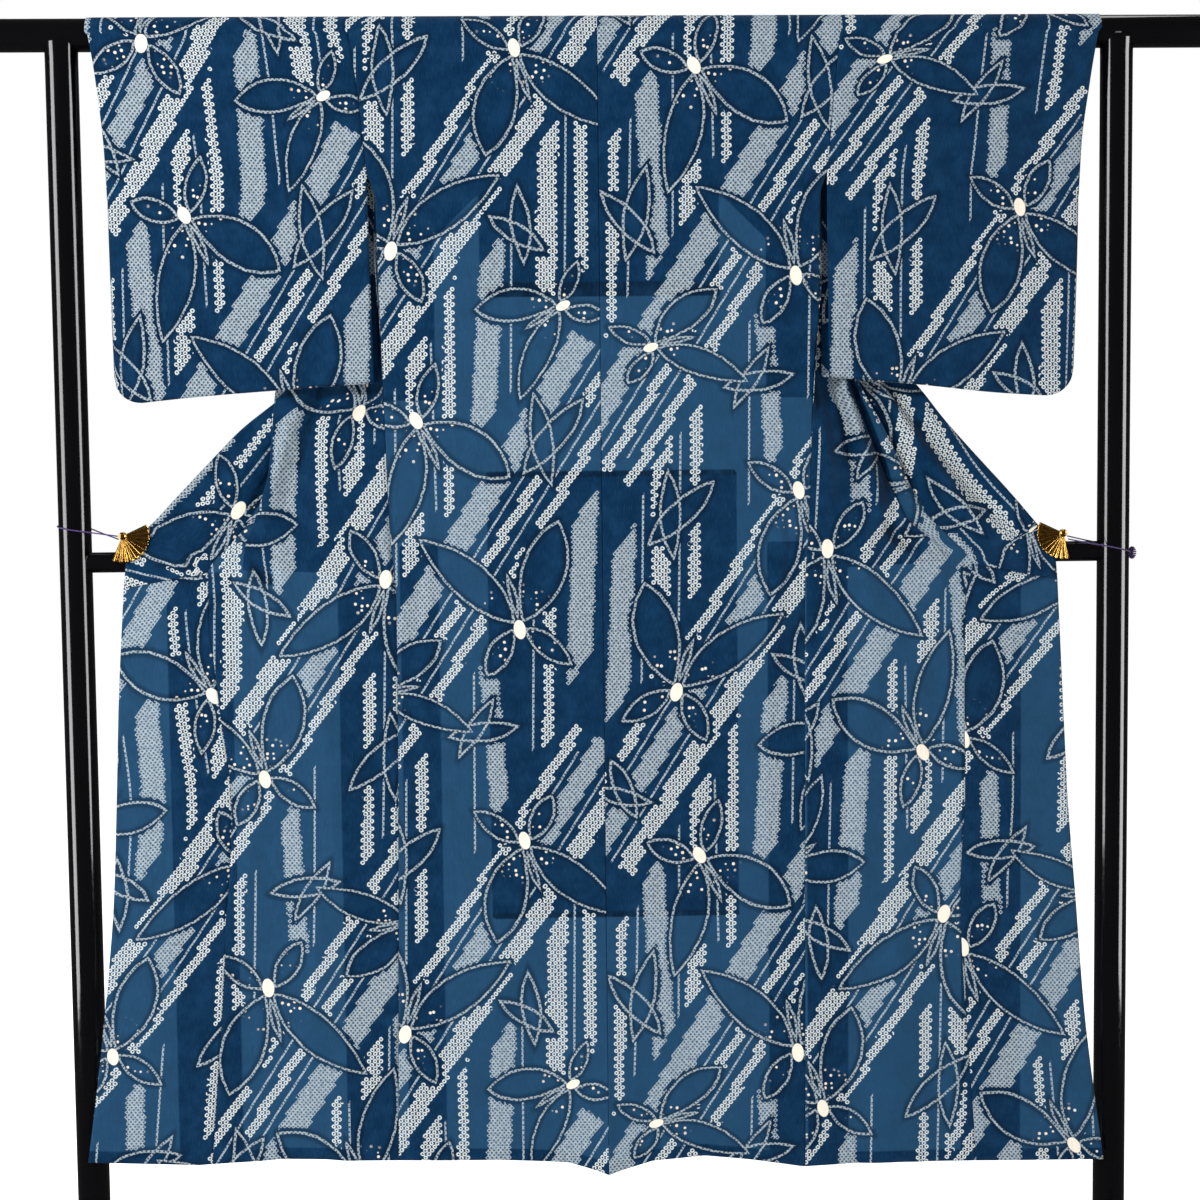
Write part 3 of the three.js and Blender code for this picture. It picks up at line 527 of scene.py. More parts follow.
# Creases: the ends across and down in the robe's millimetres, how far the middle bows to the
# left of the way down, half width, and height, with troughs below zero
CREASES = {
    "sleeve_left": [
        (-634, 463, -469, 367, -10, 7, -2.6), (-625, 476, -462, 380, -10, 8, 1.5),
        (-568, 444, -410, 355, 6, 6, -2.0), (-600, 300, -480, 250, 8, 14, 1.4),
        (-520, 60, -560, 240, 12, 16, 1.5), (-420, 40, -400, 190, -8, 14, -1.5),
        (-364, 10, -350, 120, 4, 9, 1.6),
    ],
    "sleeve_right": [
        (376, 8, 398, 130, 6, 10, 1.8), (500, 30, 470, 260, 10, 18, 1.5),
        (600, 90, 560, 330, -12, 18, -1.6), (430, 380, 560, 440, 8, 12, 1.5),
        (360, 330, 430, 420, 6, 9, -1.4),
    ],
    "back_left": [
        (-28, 6, -60, 150, 8, 12, 1.8), (-180, 10, -150, 220, -14, 18, 1.5),
        (-250, 250, -190, 480, 10, 16, -1.8), (-90, 500, -120, 820, -18, 22, 1.4),
        (-240, 620, -262, 900, 6, 8, -2.0), (-228, 640, -246, 940, 6, 8, 1.8),
        (-200, 1080, -150, 1420, 20, 24, 2.4), (-60, 1180, -90, 1500, 10, 22, -2.0),
    ],
    "back_right": [
        (120, 8, 150, 200, 10, 16, 1.5), (210, 300, 245, 470, -8, 10, -1.8),
        (180, 180, 225, 330, 8, 9, 1.5), (90, 560, 60, 900, 16, 22, 1.4),
        (236, 600, 222, 880, 6, 9, 2.0), (246, 610, 236, 900, 6, 7, -1.8),
        (200, 1120, 170, 1450, -16, 22, 2.2), (90, 1240, 120, 1510, 10, 20, -2.0),
    ],
    "front_left": [
        (-372, 430, -444, 660, -6, 7, 7.0), (-352, 430, -425, 690, -6, 10, -7.0),
        (-318, 440, -380, 720, -8, 14, 5.0), (-518, 774, -484, 746, 2, 6, -4.5),
        (-464, 715, -430, 745, 3, 12, -9.0), (-420, 640, -440, 800, 4, 12, 4.0),
        (-400, 780, -360, 1180, 16, 20, 4.0), (-330, 740, -310, 1060, 8, 12, -3.5),
        (-470, 900, -500, 1260, 10, 18, 3.2), (-390, 1150, -420, 1500, 14, 22, 4.5),
    ],
    "front_right": [
        (306, 430, 372, 668, 4, 7, 12.0), (294, 405, 336, 610, 4, 6, -11.0),
        (324, 450, 390, 650, 6, 6, -14.0), (280, 420, 300, 640, 4, 9, 8.0),
        (376, 668, 424, 700, -3, 12, -15.0), (350, 650, 362, 800, -4, 12, 5.0),
        (380, 780, 340, 1160, -14, 18, 4.0), (440, 840, 420, 1240, 12, 20, -3.6),
        (300, 760, 290, 1080, 6, 10, 3.2), (390, 1180, 370, 1500, 12, 22, 4.5),
    ],
    "collar": [
        (-390, 505, -470, 650, 4, 10, -11.0), (-400, 490, -575, 700, 8, 9, 5.0),
        (-440, 505, -560, 640, 4, 7, -3.0),
        (338, 450, 424, 640, 4, 7, -14.0), (356, 450, 520, 690, -8, 7, 10.0),
        (372, 460, 548, 680, -6, 7, -9.0), (420, 500, 560, 650, -6, 10, 4.0),
    ],
    "overlap_left": [
        (-590, 770, -560, 1120, 12, 14, 1.6), (-610, 1100, -580, 1480, -12, 20, 2.2),
    ],
    "overlap_right": [
        (560, 770, 545, 1100, -10, 14, 1.6), (580, 1120, 560, 1490, 12, 20, 2.2),
    ],
}
# How far the creases of a sleeve's hidden layer stand, beside those of the near one
FAR_SHARE = -0.8
# A panel's edge rolls in beside its seam
ROLL_RADIUS = 1.6
EDGE_STATIONS = (0, 0.5, 1.1, 1.8, 3.2)


def seam_shares(count, width):
    """Shares across a panel from seam to seam, closer together beside the seams."""
    edge = np.array(EDGE_STATIONS) / width
    return np.concatenate([edge[:-1], np.linspace(edge[-1], 1 - edge[-1], count),
                           1 - edge[-2::-1]])


def roll_in(from_edge):
    """How far the cloth lies in behind its face, by the distance from its seam."""
    left = np.clip(ROLL_RADIUS - from_edge, 0, ROLL_RADIUS)
    return ROLL_RADIUS - np.sqrt(ROLL_RADIUS ** 2 - left ** 2)


def crease_lift(rows, x, drop):
    """How far creases lift the cloth toward the viewer."""
    lift = np.zeros(x.shape)
    for start_x, start, end_x, end, bow, half_width, height in rows:
        way = np.array([end_x - start_x, end - start])
        long = np.hypot(*way)
        along = ((x - start_x) * way[0] + (drop - start) * way[1]) / long
        across = ((x - start_x) * way[1] - (drop - start) * way[0]) / long
        share = along / long
        middle = bow * 4 * share * (1 - share)
        spread = half_width * (0.75 + 0.5 * share)
        fade = ramp(share, -0.12, 0.22) * ramp(share, 1.12, 0.74)
        lift = lift + height * fade * np.exp(-((across - middle) / spread) ** 2)
    return lift


def creased(panel, grid, far_row=None):
    """A panel's grid with its creases, in its own sizes. Rows from far_row on face away."""
    lift = crease_lift(CREASES[panel], *robe_places(grid))
    if far_row is not None:
        lift[far_row:] *= FAR_SHARE
    moved = grid.copy()
    moved[..., 1] -= lift * MM
    return moved


# The pattern of the bolt, charted in metres across and down the bolt, where it repeats
BOLT_REPEAT = 1.04
BOLT_MIDDLE = 0.185
LEAN = 32
FALL = 1 / math.tan(math.radians(LEAN))

# Pointed leaves that a motif is made of: base across and up, degrees from up, length, half width
FLOWER_PETALS = [
    (0.006, 0.006, 36, 0.150, 0.0265),
    (0.009, -0.004, 138, 0.072, 0.0140),
    (0.0, 0.014, 0, 0.052, 0.0042),
]
TWIN_LEAVES = [
    (-0.021, -0.056, 27, 0.128, 0.0160),
    (0.017, -0.060, -23, 0.116, 0.0140),
]

# Flowers: place across and down, degrees turned, size, bend and openness
FLOWERS = [
    (0.262, 0.062, 168, 0.96, 1.3, 0.96),
    (0.098, 0.318, 14, 1.00, -1.2, 1.00),
    (0.318, 0.392, -116, 0.80, 1.5, 0.86),
    (0.128, 0.545, 150, 0.94, -1.4, 1.02),
    (0.258, 0.812, -8, 1.02, 1.2, 0.96),
    (0.070, 0.905, 72, 0.80, -1.5, 0.84),
]

# Pairs of crossing leaves, in the same columns
TWINS = [
    (0.098, 0.082, 24, 0.96, 1.6, 1.0),
    (0.262, 0.290, -38, 0.72, -1.8, 1.1),
    (0.298, 0.560, 16, 1.00, 1.4, 1.0),
    (0.042, 0.735, -20, 0.90, -1.5, 1.1),
    (0.205, 0.948, 58, 0.74, 1.6, 1.0),
    (0.022, 0.455, -48, 0.66, 1.8, 1.1),
]

# Slanting bands: kind, height of the run where it crosses the bolt's middle, distance from the
# run's line, half width, and half length along the run
SLANTING = [
    ("ring", 0.235, -0.047, 0.0070, 0.36),
    ("line", 0.235, -0.030, 0.0014, 0.33),
    ("stipple", 0.235, -0.008, 0.0130, 0.36),
    ("line", 0.235, 0.016, 0.0014, 0.36),
    ("ring", 0.235, 0.037, 0.0125, 0.36),
    ("stipple", 0.755, -0.034, 0.0165, 0.36),
    ("line", 0.755, -0.006, 0.0014, 0.36),
    ("ring", 0.755, 0.012, 0.0068, 0.36),
    ("line", 0.755, 0.029, 0.0014, 0.33),
    ("ring", 0.755, 0.048, 0.0068, 0.36),
]

# Upright bands: kind, place across, height between the runs where it crosses the bolt's middle,
# half width, half length and lean in degrees
UPRIGHT = [
    ("ring", 0.018, 0.492, 0.0070, 0.130, 1.5),
    ("line", 0.040, 0.492, 0.0014, 0.115, 1.5),
    ("stipple", 0.070, 0.492, 0.0150, 0.120, -3.5),
    ("line", 0.098, 0.492, 0.0014, 0.130, 0.5),
    ("ring", 0.124, 0.492, 0.0130, 0.142, 1.5),
    ("line", 0.149, 0.492, 0.0014, 0.110, -1.0),
    ("ring", 0.170, 0.492, 0.0070, 0.150, 1.0),
    ("stipple", 0.222, 0.492, 0.0155, 0.118, 4.0),
    ("line", 0.253, 0.492, 0.0014, 0.120, 1.0),
    ("ring", 0.300, 0.492, 0.0130, 0.140, 1.5),
    ("line", 0.325, 0.492, 0.0014, 0.130, 1.0),
    ("ring", 0.346, 0.492, 0.0070, 0.120, 0.5),
    ("stipple", 0.024, 1.012, 0.0150, 0.112, 3.0),
    ("line", 0.053, 1.012, 0.0014, 0.125, 1.0),
    ("ring", 0.078, 1.012, 0.0130, 0.145, 1.5),
    ("line", 0.103, 1.012, 0.0014, 0.125, 1.0),
    ("ring", 0.124, 1.012, 0.0070, 0.120, 1.0),
    ("line", 0.196, 1.012, 0.0014, 0.120, 0.5),
    ("stipple", 0.222, 1.012, 0.0120, 0.105, -4.0),
    ("line", 0.276, 1.012, 0.0014, 0.110, 1.0),
    ("ring", 0.298, 1.012, 0.0070, 0.135, 1.5),
    ("stipple", 0.342, 1.012, 0.0160, 0.110, 3.0),
]
BAND_KINDS = ("ring", "stipple", "line")

# Where each panel lies on the bolt: across at its first column and the way that it grows, and
# down at the rail or the panel's top and the way that it grows
BOLT_PLACES = {
    "back_left": (0.37, -1, 0.00, 1),
    "back_right": (0.0, 1, 0.46, 1),
    "front_left": (0.085, 1, 0.00, -1),
    "front_right": (0.285, -1, 0.46, -1),
    "overlap_left": (0.12, 1, 0.71, -1),
    "overlap_right": (0.26, -1, 0.30, -1),
    "sleeve_left": (0.365, -1, 0.27, -1),
    "sleeve_right": (0.005, 1, 0.83, -1),
    "collar": (0.285, 1, 0.55, 1),
}

# Boxes where the panel shows two layers, as left, right, top and bottom in the robe's millimetres.
# Painted light: single cloth is coloured paler, as lit through from behind, and these doubled
# boxes darker
DOUBLED = {
    "back_left": [(-157, 9, -50, 366), (-152, 9, 594, 1190), (-268, -217, 690, 1600),
                  (-400, -217, -50, 500)],
    "back_right": [(-9, 157, -50, 366), (-9, 178, 594, 1190), (218, 270, 690, 1600),
                   (218, 400, -50, 500)],
    "front_left": [(-350, -270, 400, 1600), (-575, -490, 722, 1600)],
    "front_right": [(270, 325, 400, 1600), (478, 558, 722, 1600)],
    "overlap_left": [(-575, -480, 600, 1600)],
    "overlap_right": [(470, 558, 600, 1600)],
    "sleeve_left": [(-900, 900, -900, 900)],
    "sleeve_right": [(-900, 900, -900, 900)],
    "collar": [(-900, 900, -900, 1600)],
}
# Boxes where the turned edge of a lining lies behind too, painted darker still as less light comes
# through
DEEPEST = {"back": [(-157, 157, 347, 366), (-152, 178, 594, 602), (-152, 178, 1182, 1190)]}
HEM_TURN = 16
# Cloth in a trough deeper than this gets the deepest cloth's dark ground, as painted shade in the
# crease
DEEP_TROUGH = 5


def leaf_distance(x, y, leaf):
    """How far a place lies outside a pointed leaf, below zero inside it."""
    base_x, base_y, degrees, tip, half = leaf
    cos, sin = math.cos(math.radians(degrees)), math.sin(math.radians(degrees))
    along = (x - base_x) * sin + (y - base_y) * cos
    across = (x - base_x) * cos - (y - base_y) * sin
    radius = (tip ** 2 / 4 + half ** 2) / (2 * half)
    return ((along - tip / 2) ** 2 + (abs(across) + (radius - half)) ** 2) ** 0.5 - radius


def least(a, b):
    return a.least(b) if isinstance(a, Field) else np.minimum(a, b)


def flower_distance(x, y):
    folded = abs(x)
    near = leaf_distance(folded, y, FLOWER_PETALS[0])
    for petal in FLOWER_PETALS[1:]:
        near = least(near, leaf_distance(folded, y, petal))
    return near


def twin_distance(x, y):
    return least(leaf_distance(x, y, TWIN_LEAVES[0]), leaf_distance(x, y, TWIN_LEAVES[1]))


def motif_place(motif, across, along):
    """A place on the bolt as seen from a motif: turned, sized, bent and opened."""
    middle_across, middle_along, degrees, size, bend, openness = motif
    du, dv = across - middle_across, middle_along - along
    turn = np.radians(degrees)
    y = (du * np.sin(turn) + dv * np.cos(turn)) / size
    x = (du * np.cos(turn) - dv * np.sin(turn)) / size + bend * y * abs(y)
    return x / openness, y


def nearer_repeat(along, middle):
    """How far the repeat of a motif that lies nearest to a place is from its first place."""
    return np.round((along - middle) / BOLT_REPEAT) * BOLT_REPEAT


def nearest_motif(motifs, distance, centres, corners):
    """Each face's corners as seen from the nearest motif, and that motif's size."""
    rows = np.array(motifs)
    columns = rows.T[:, None, :]
    along = centres[:, 1:] - nearer_repeat(centres[:, 1:], columns[1])
    x, y = motif_place(columns, centres[:, :1], along)
    picked = rows[np.argmin(distance(x, y) * columns[3], axis=1)].T[:, :, None]
    along = corners[..., 1] - nearer_repeat(centres[:, 1:], picked[1])
    x, y = motif_place(picked, corners[..., 0], along)
    return np.stack([x, y, np.broadcast_to(picked[3], x.shape)], axis=-1)


def clear_of_motifs(places):
    """Distance of each place to the nearest motif's outline, below zero inside it."""
    nearest = np.full(len(places), 1.0)
    for motifs, distance in ((FLOWERS, flower_distance), (TWINS, twin_distance)):
        for motif in motifs:
            along = places[:, 1] - nearer_repeat(places[:, 1], motif[1])
            x, y = motif_place(motif, places[:, 0], along)
            nearest = np.minimum(nearest, distance(x, y) * motif[3])
    return nearest


def clear_layer(places):
    """The distance to the motifs and how it grows across and down the bolt."""
    step = 0.002
    slopes = [(clear_of_motifs(places + shift) - clear_of_motifs(places - shift)) / (2 * step)
              for shift in (np.array([step, 0]), np.array([0, step]))]
    return np.stack([clear_of_motifs(places), *slopes], axis=-1)


def band_rows(kind):
    """Every band of a kind: its middle, lean, half sizes and the slant of its ends."""
    rows = []
    turn = math.radians(LEAN)
    for band, height, offset, half_width, half_length in SLANTING:
        if band == kind:
            middle = (BOLT_MIDDLE + offset * math.cos(turn), height + offset * math.sin(turn))
            rows.append((*middle, turn, half_width, half_length, 0))
    for band, across, height, half_width, half_length, lean in UPRIGHT:
        if band == kind:
            along = height - FALL * (across - BOLT_MIDDLE)
            rows.append((across, along, math.radians(lean), half_width, half_length, FALL))
    return np.array(rows)


def band_place(band, across, along):
    du, dv = across - band[0], along - band[1]
    return (du * np.cos(band[2]) + dv * np.sin(band[2]),
            dv * np.cos(band[2]) - du * np.sin(band[2]))


def nearest_band(kind, centres, corners):
    """Each face's corners in the frame of the nearest band of a kind, and that band's sizes."""
    rows = band_rows(kind)
    columns = rows.T[:, None, :]
    along = centres[:, 1:] - nearer_repeat(centres[:, 1:], columns[1])
    across, down = band_place(columns, centres[:, :1], along)
    outside = np.maximum(abs(across) - columns[3], abs(down + columns[5] * across) - columns[4])
    picked = rows[np.argmin(outside, axis=1)].T[:, :, None]
    along = corners[..., 1] - nearer_repeat(centres[:, 1:], picked[1])
    across, down = band_place(picked, corners[..., 0], along)
    turn, half_width, half_length, slant = (np.broadcast_to(picked[k], across.shape)
                                            for k in (2, 3, 4, 5))
    return (np.stack([across, down, turn], axis=-1),
            np.stack([half_width, half_length, slant], axis=-1))


def beside_middle(grid):
    """How far each point of a long strip lies beside its middle line and along it."""
    half = grid.shape[1] // 2
    middle = grid[:, half:half + 1]
    way = np.gradient(middle, axis=0)
    way /= np.linalg.norm(way, axis=2, keepdims=True)
    offset = grid - middle
    forward = (offset * way).sum(axis=2)
    beside = np.sqrt(np.clip((offset ** 2).sum(axis=2) - forward ** 2, 0, None))
    return (beside * np.sign(np.arange(grid.shape[1]) - half),
            along_columns(middle) + forward)


def bolt_places(panel, grid, top_row):
    """Places on the bolt, in metres, of a panel's grid."""
    across, across_way, down, down_way = BOLT_PLACES[panel]
    rows, columns = along_rows(grid), along_columns(grid)
    if panel == "collar":
        rows, columns = beside_middle(grid)
        top_row = len(grid) // 2
    if panel.startswith(("front", "overlap")):
        columns = np.broadcast_to(columns[:, :1], columns.shape)
    return np.stack([across + across_way * rows,
                     down + down_way * (columns - columns[top_row])], axis=-1)


def inside_boxes(boxes, x, drop):
    """How far places lie within the nearest of some upright boxes."""
    inside = np.full(x.shape, -900.0)
    for left, right, top, bottom in boxes:
        box = np.minimum(np.minimum(x - left, right - x), np.minimum(drop - top, bottom - drop))
        inside = np.maximum(inside, box)
    return inside


def cloth_layers_and_shade(panel, grid):
    """How far each point of a panel's grid lies within doubled and deepest cloth, in metres. The
    material paints from it: single cloth paler as lit through, doubled and deepest darker, and
    painted shade in crease troughs deeper than DEEP_TROUGH.
    """
    x, drop = robe_places(grid)
    inside = inside_boxes(DOUBLED[panel], x, drop)
    part, _, side = panel.partition("_")
    if part == "back":
        front_line = (np.abs(x) - (drop - COLLAR_NECK_DROP) * 1.018) * 0.7
        inside = np.maximum(inside, np.where(drop < 362, front_line, -900))
    if part == "front":
        folded = smooth(FRONT_SECTIONS[side], "fold_x", np.minimum(drop, OVERLAP_TOP)) - np.abs(x)
        inside = np.maximum(inside, np.where(drop < OVERLAP_TOP, folded, -900))
    if part in ("back", "front", "overlap"):
        inside = np.maximum(inside, drop - hem_drop(np.full_like(x, LONGEST_DROP), x) + HEM_TURN)
    # Painted shade: crease troughs deeper than DEEP_TROUGH darken the ground like the deepest
    # cloth
    trough_shade = -crease_lift(CREASES[panel], x, drop) - DEEP_TROUGH
    deepest_and_trough_shade = np.maximum(inside_boxes(DEEPEST.get(part, []), x, drop), trough_shade)
    return np.stack([inside, deepest_and_trough_shade, np.zeros(x.shape)], axis=-1) * MM


def add_layer(mesh, name, domain, values):
    layer = mesh.attributes.new(name, "FLOAT_VECTOR", domain)
    layer.data.foreach_set("vector", values.ravel())


def print_cloth(mesh, faces, bolt, layers_and_shade):
    """Gives a wall what its pattern is drawn from: both its sides show the same places."""
    bolt, layers_and_shade = (np.tile(values.reshape(-1, values.shape[-1]), (2, 1))
                    for values in (bolt, layers_and_shade))
    corners = bolt[faces]
    centres = corners.mean(axis=1)
    uv = mesh.uv_layers.new(name="cloth")
    uv.data.foreach_set("uv", corners.ravel())
    for name, motifs, distance in (("flower", FLOWERS, flower_distance),
                                   ("twin", TWINS, twin_distance)):
        layer = nearest_motif(motifs, distance, centres, corners)
        add_layer(mesh, name, "CORNER", layer.reshape(-1, 3))
    for kind in BAND_KINDS:
        place, size = nearest_band(kind, centres, corners)
        add_layer(mesh, kind + "_place", "CORNER", place.reshape(-1, 3))
        add_layer(mesh, kind + "_size", "CORNER", size.reshape(-1, 3))
    add_layer(mesh, "clear", "POINT", clear_layer(bolt))
    add_layer(mesh, "layers_and_shade", "POINT", layers_and_shade)


# Meshes
def new_object(name, mesh, material):
    made = bpy.data.objects.new(name, mesh)
    bpy.context.scene.collection.objects.link(made)
    made.data.materials.append(material)
    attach(made, "root")
    return made


def mesh_from(name, points, faces):
    mesh = bpy.data.meshes.new(name)
    mesh.from_pydata(points.reshape(-1, 3).tolist(), [], [list(map(int, f)) for f in faces])
    mesh.polygons.foreach_set("use_smooth", np.ones(len(mesh.polygons), dtype=bool))
    mesh.update()
    return mesh


def shell_faces(rows, columns):
    """Four-cornered faces of a closed wall: one side, the other side and the rim."""
    size = rows * columns
    index = np.arange(size).reshape(rows, columns)
    near = np.stack([index[:-1, :-1], index[1:, :-1], index[1:, 1:], index[:-1, 1:]], axis=-1)
    near = near.reshape(-1, 4)
    far = near[:, ::-1] + size
    border = np.concatenate([index[0, :-1], index[:-1, -1], index[-1, :0:-1], index[:0:-1, 0]])
    after = np.roll(border, -1)
    rim = np.stack([border, after, after + size, border + size], axis=-1)
    return np.concatenate([near, far, rim])


def shell(name, grid, wall):
    """A thin closed wall of cloth on a grid, as a mesh, with its corners' places in the grid."""
    offset = grid_normals(grid) * wall / 2
    points = np.concatenate([(grid + offset).reshape(-1, 3), (grid - offset).reshape(-1, 3)])
    faces = shell_faces(*grid.shape[:2])
    corners = points[faces]
    volume = np.einsum("ij,ij->", corners[:, 0], np.cross(corners[:, 1], corners[:, 2]))
    if volume < 0:
        faces = faces[:, ::-1]
    return mesh_from(name, points, faces), faces


# Values in a material, written as formulas
class Field:
    """A number in a material, worked out by its nodes."""

    def __init__(self, tree, socket):
        self.tree = tree
        self.socket = socket

    def of(self, operation, *others):
        node = self.tree.nodes.new("ShaderNodeMath")
        node.operation = operation
        for socket, value in zip(node.inputs, (self, *others)):
            plug(self.tree, value, socket)
        return Field(self.tree, node.outputs[0])

    def __add__(self, other):
        return self.of("ADD", other)

    def __sub__(self, other):
        return self.of("SUBTRACT", other)

    def __mul__(self, other):
        return self.of("MULTIPLY", other)

    def __truediv__(self, other):
        return self.of("DIVIDE", other)

    def __pow__(self, other):
        return self.of("POWER", other)

    def __abs__(self):
        return self.of("ABSOLUTE")

    def __neg__(self):
        return self.of("MULTIPLY", -1.0)

    def least(self, other):
        return self.of("MINIMUM", other)

    def most(self, other):
        return self.of("MAXIMUM", other)

    def below(self, other):
        return self.of("LESS_THAN", other)

    def floor(self):
        return self.of("FLOOR")

    def cos(self):
        return self.of("COSINE")

    def sin(self):
        return self.of("SINE")

    def ramp(self, low, high):
        """0 at low and 1 at high, which may lie below low."""
        node = self.tree.nodes.new("ShaderNodeMapRange")
        node.interpolation_type = "SMOOTHSTEP"
        for name, value in (("Value", self), ("From Min", low), ("From Max", high)):
            plug(self.tree, value, node.inputs[name])
        return Field(self.tree, node.outputs["Result"])


def plug(tree, value, socket):
    if isinstance(value, Field):
        tree.links.new(value.socket, socket)
    else:
        socket.default_value = value


def length(x, y):
    return (x * x + y * y) ** 0.5


def parts_of(tree, socket):
    parts = tree.nodes.new("ShaderNodeSeparateXYZ")
    tree.links.new(socket, parts.inputs[0])
    return [Field(tree, output) for output in parts.outputs]


def layer_fields(tree, name):
    """The three numbers of a mesh's layer."""
    node = tree.nodes.new("ShaderNodeAttribute")
    node.attribute_name = name
    return parts_of(tree, node.outputs["Vector"])


def place_on_bolt(tree):
    node = tree.nodes.new("ShaderNodeUVMap")
    node.uv_map = "cloth"
    return parts_of(tree, node.outputs["UV"])[:2]


def vector_of(tree, x, y, z=0.0):
    node = tree.nodes.new("ShaderNodeCombineXYZ")
    for socket, value in zip(node.inputs, (x, y, z)):
        plug(tree, value, socket)
    return node.outputs[0]


def noise(tree, vector, scale, detail=2.0, roughness=0.5):
    """Noise about 0.5, along a vector."""
    node = tree.nodes.new("ShaderNodeTexNoise")
    tree.links.new(vector, node.inputs["Vector"])
    for name, value in (("Scale", scale), ("Detail", detail), ("Roughness", roughness)):
        node.inputs[name].default_value = value
    return Field(tree, node.outputs["Fac"])


def nearest_dot(tree, vector, scale):
    """Distance to the nearest of many scattered dots, in the spacing of the dots."""
    node = tree.nodes.new("ShaderNodeTexVoronoi")
    tree.links.new(vector, node.inputs["Vector"])
    node.inputs["Scale"].default_value = scale
    node.inputs["Randomness"].default_value = 0.55
    return Field(tree, node.outputs["Distance"])


def srgb(red, green, blue):
    """A colour as it shows, from 0 to 255, as a linear one."""
    def linear(value):
        value /= 255
        return value / 12.92 if value <= 0.04045 else ((value + 0.055) / 1.055) ** 2.4
    return (linear(red), linear(green), linear(blue), 1)


def mixed(tree, share, first, second):
    """A colour between two, each a colour or a socket."""
    node = tree.nodes.new("ShaderNodeMix")
    node.data_type = "RGBA"
    plug(tree, share, node.inputs[0])
    for value, socket in ((first, node.inputs[6]), (second, node.inputs[7])):
        if isinstance(value, tuple):
            socket.default_value = value
        else:
            tree.links.new(value, socket)
    return node.outputs[2]


def new_material(name, roughness, **settings):
    """A material, its nodes and its shader. settings are the shader's own sockets."""
    material = bpy.data.materials.new(name)
    material.use_nodes = True
    tree = material.node_tree
    shader = tree.nodes["Principled BSDF"]
    shader.inputs["Roughness"].default_value = roughness
    for key, value in settings.items():
        shader.inputs[key.replace("_", " ")].default_value = value
    return material, tree, shader


def bump(tree, shader, height, distance):
    """Relief from a height of 0 to 1 that stands for a distance."""
    node = tree.nodes.new("ShaderNodeBump")
    node.inputs["Distance"].default_value = distance
    plug(tree, height, node.inputs["Height"])
    tree.links.new(node.outputs["Normal"], shader.inputs["Normal"])


# Dyed dots lie on staggered rows: the spacing within a row, and from row to row
RING_PITCH = 0.0080
RING_ROW = 0.0050
RING_RADIUS = 0.0029
RING_HOLE = 0.0014
SPECK_PITCH = 0.0058
SPECK_ROW = 0.0034
SPECK_RADIUS = 0.0014
HALO = 0.0062
SHADE_REACH = 0.0095
LINE_HALO = 0.0040
OUTLINE_HALF = 0.0017
HEART_ACROSS = 0.0080
HEART_ALONG = 0.0125

# Ground colours: single cloth is painted paler, as lit through from behind, and doubled and
# deepest cloth darker. The deepest colour is also painted shade in crease troughs
GROUND_SINGLE_BACKLIT = srgb(26, 60, 88)
GROUND_DOUBLED = srgb(1, 34, 62)
GROUND_DEEPEST_AND_TROUGH_SHADE = srgb(0, 22, 44)
GROUND_NEAR_DYE = srgb(0, 16, 34)
WHITE_DYE = srgb(204, 210, 208)
HEART_DYE = srgb(232, 222, 206)
PALE_DYE = srgb(166, 178, 184)


def lattice(u, v, pitch, row):
    """Offset of a place from the nearest middle of a staggered lattice."""
    def offset(value, spacing, start):
        return value - ((value / spacing - start).floor() + (0.5 + start)) * spacing
    a_x, a_y = offset(u, pitch, 0.0), offset(v, 2 * row, 0.0)
    b_x, b_y = offset(u, pitch, 0.5), offset(v, 2 * row, 0.5)
    nearer = length(a_x, a_y).below(length(b_x, b_y))
    return b_x + (a_x - b_x) * nearer, b_y + (a_y - b_y) * nearer


def inside_band(tree, kind, cell, clear, halo):
    """1 in the cells of a lattice whose middle lies in a band and clear of the motifs."""
    across, down, turn = layer_fields(tree, kind + "_place")
    half_width, half_length, slant = layer_fields(tree, kind + "_size")
    dx, dy = cell
    cos, sin = turn.cos(), turn.sin()
    across = across - (cos * dx + sin * dy)
    down = down - (cos * dy - sin * dx) + slant * across
    distance, grows_across, grows_down = clear
    distance = distance - grows_across * dx - grows_down * dy
    wide = abs(across).below(half_width)
    long = abs(down).below(half_length)
    return wide * long * (-distance).below(-halo)


def dyed_pattern(tree, place, u, v, clear):
    """How white the rings, specks, lines and the hearts of the flowers are."""
    hand = noise(tree, place, 70, detail=1) - 0.5
    patchy = noise(tree, place, 210, detail=2, roughness=0.7).ramp(0.2, 0.62)
    u_hand, v_hand = u + hand * 0.0024, v - hand * 0.0020
    ring_cell = lattice(u_hand, v_hand, RING_PITCH, RING_ROW)
    from_ring = length(*ring_cell) + (patchy - 0.6) * 0.0006
    ring = from_ring.ramp(RING_RADIUS + 0.0005, RING_RADIUS - 0.0003)
    ring = ring * from_ring.ramp(RING_HOLE - 0.0005, RING_HOLE + 0.0004)
    rings = ring * inside_band(tree, "ring", ring_cell, clear, HALO) * (patchy * 0.35 + 0.65)
    speck_cell = lattice(u_hand, v_hand, SPECK_PITCH, SPECK_ROW)
    speck = length(*speck_cell).ramp(SPECK_RADIUS + 0.0004, SPECK_RADIUS - 0.0004)
    beads = (patchy * 0.6 + 0.4) * (speck * -0.85 + 1.0)
    specks = beads * inside_band(tree, "stipple", speck_cell, clear, HALO)
    lines = inside_band(tree, "line", (0.0, 0.0), clear, LINE_HALO)
    outlines, hearts, seeds = motif_marks(tree, place, hand)
    return rings, specks, lines.most(outlines) * beads, hearts.most(seeds)


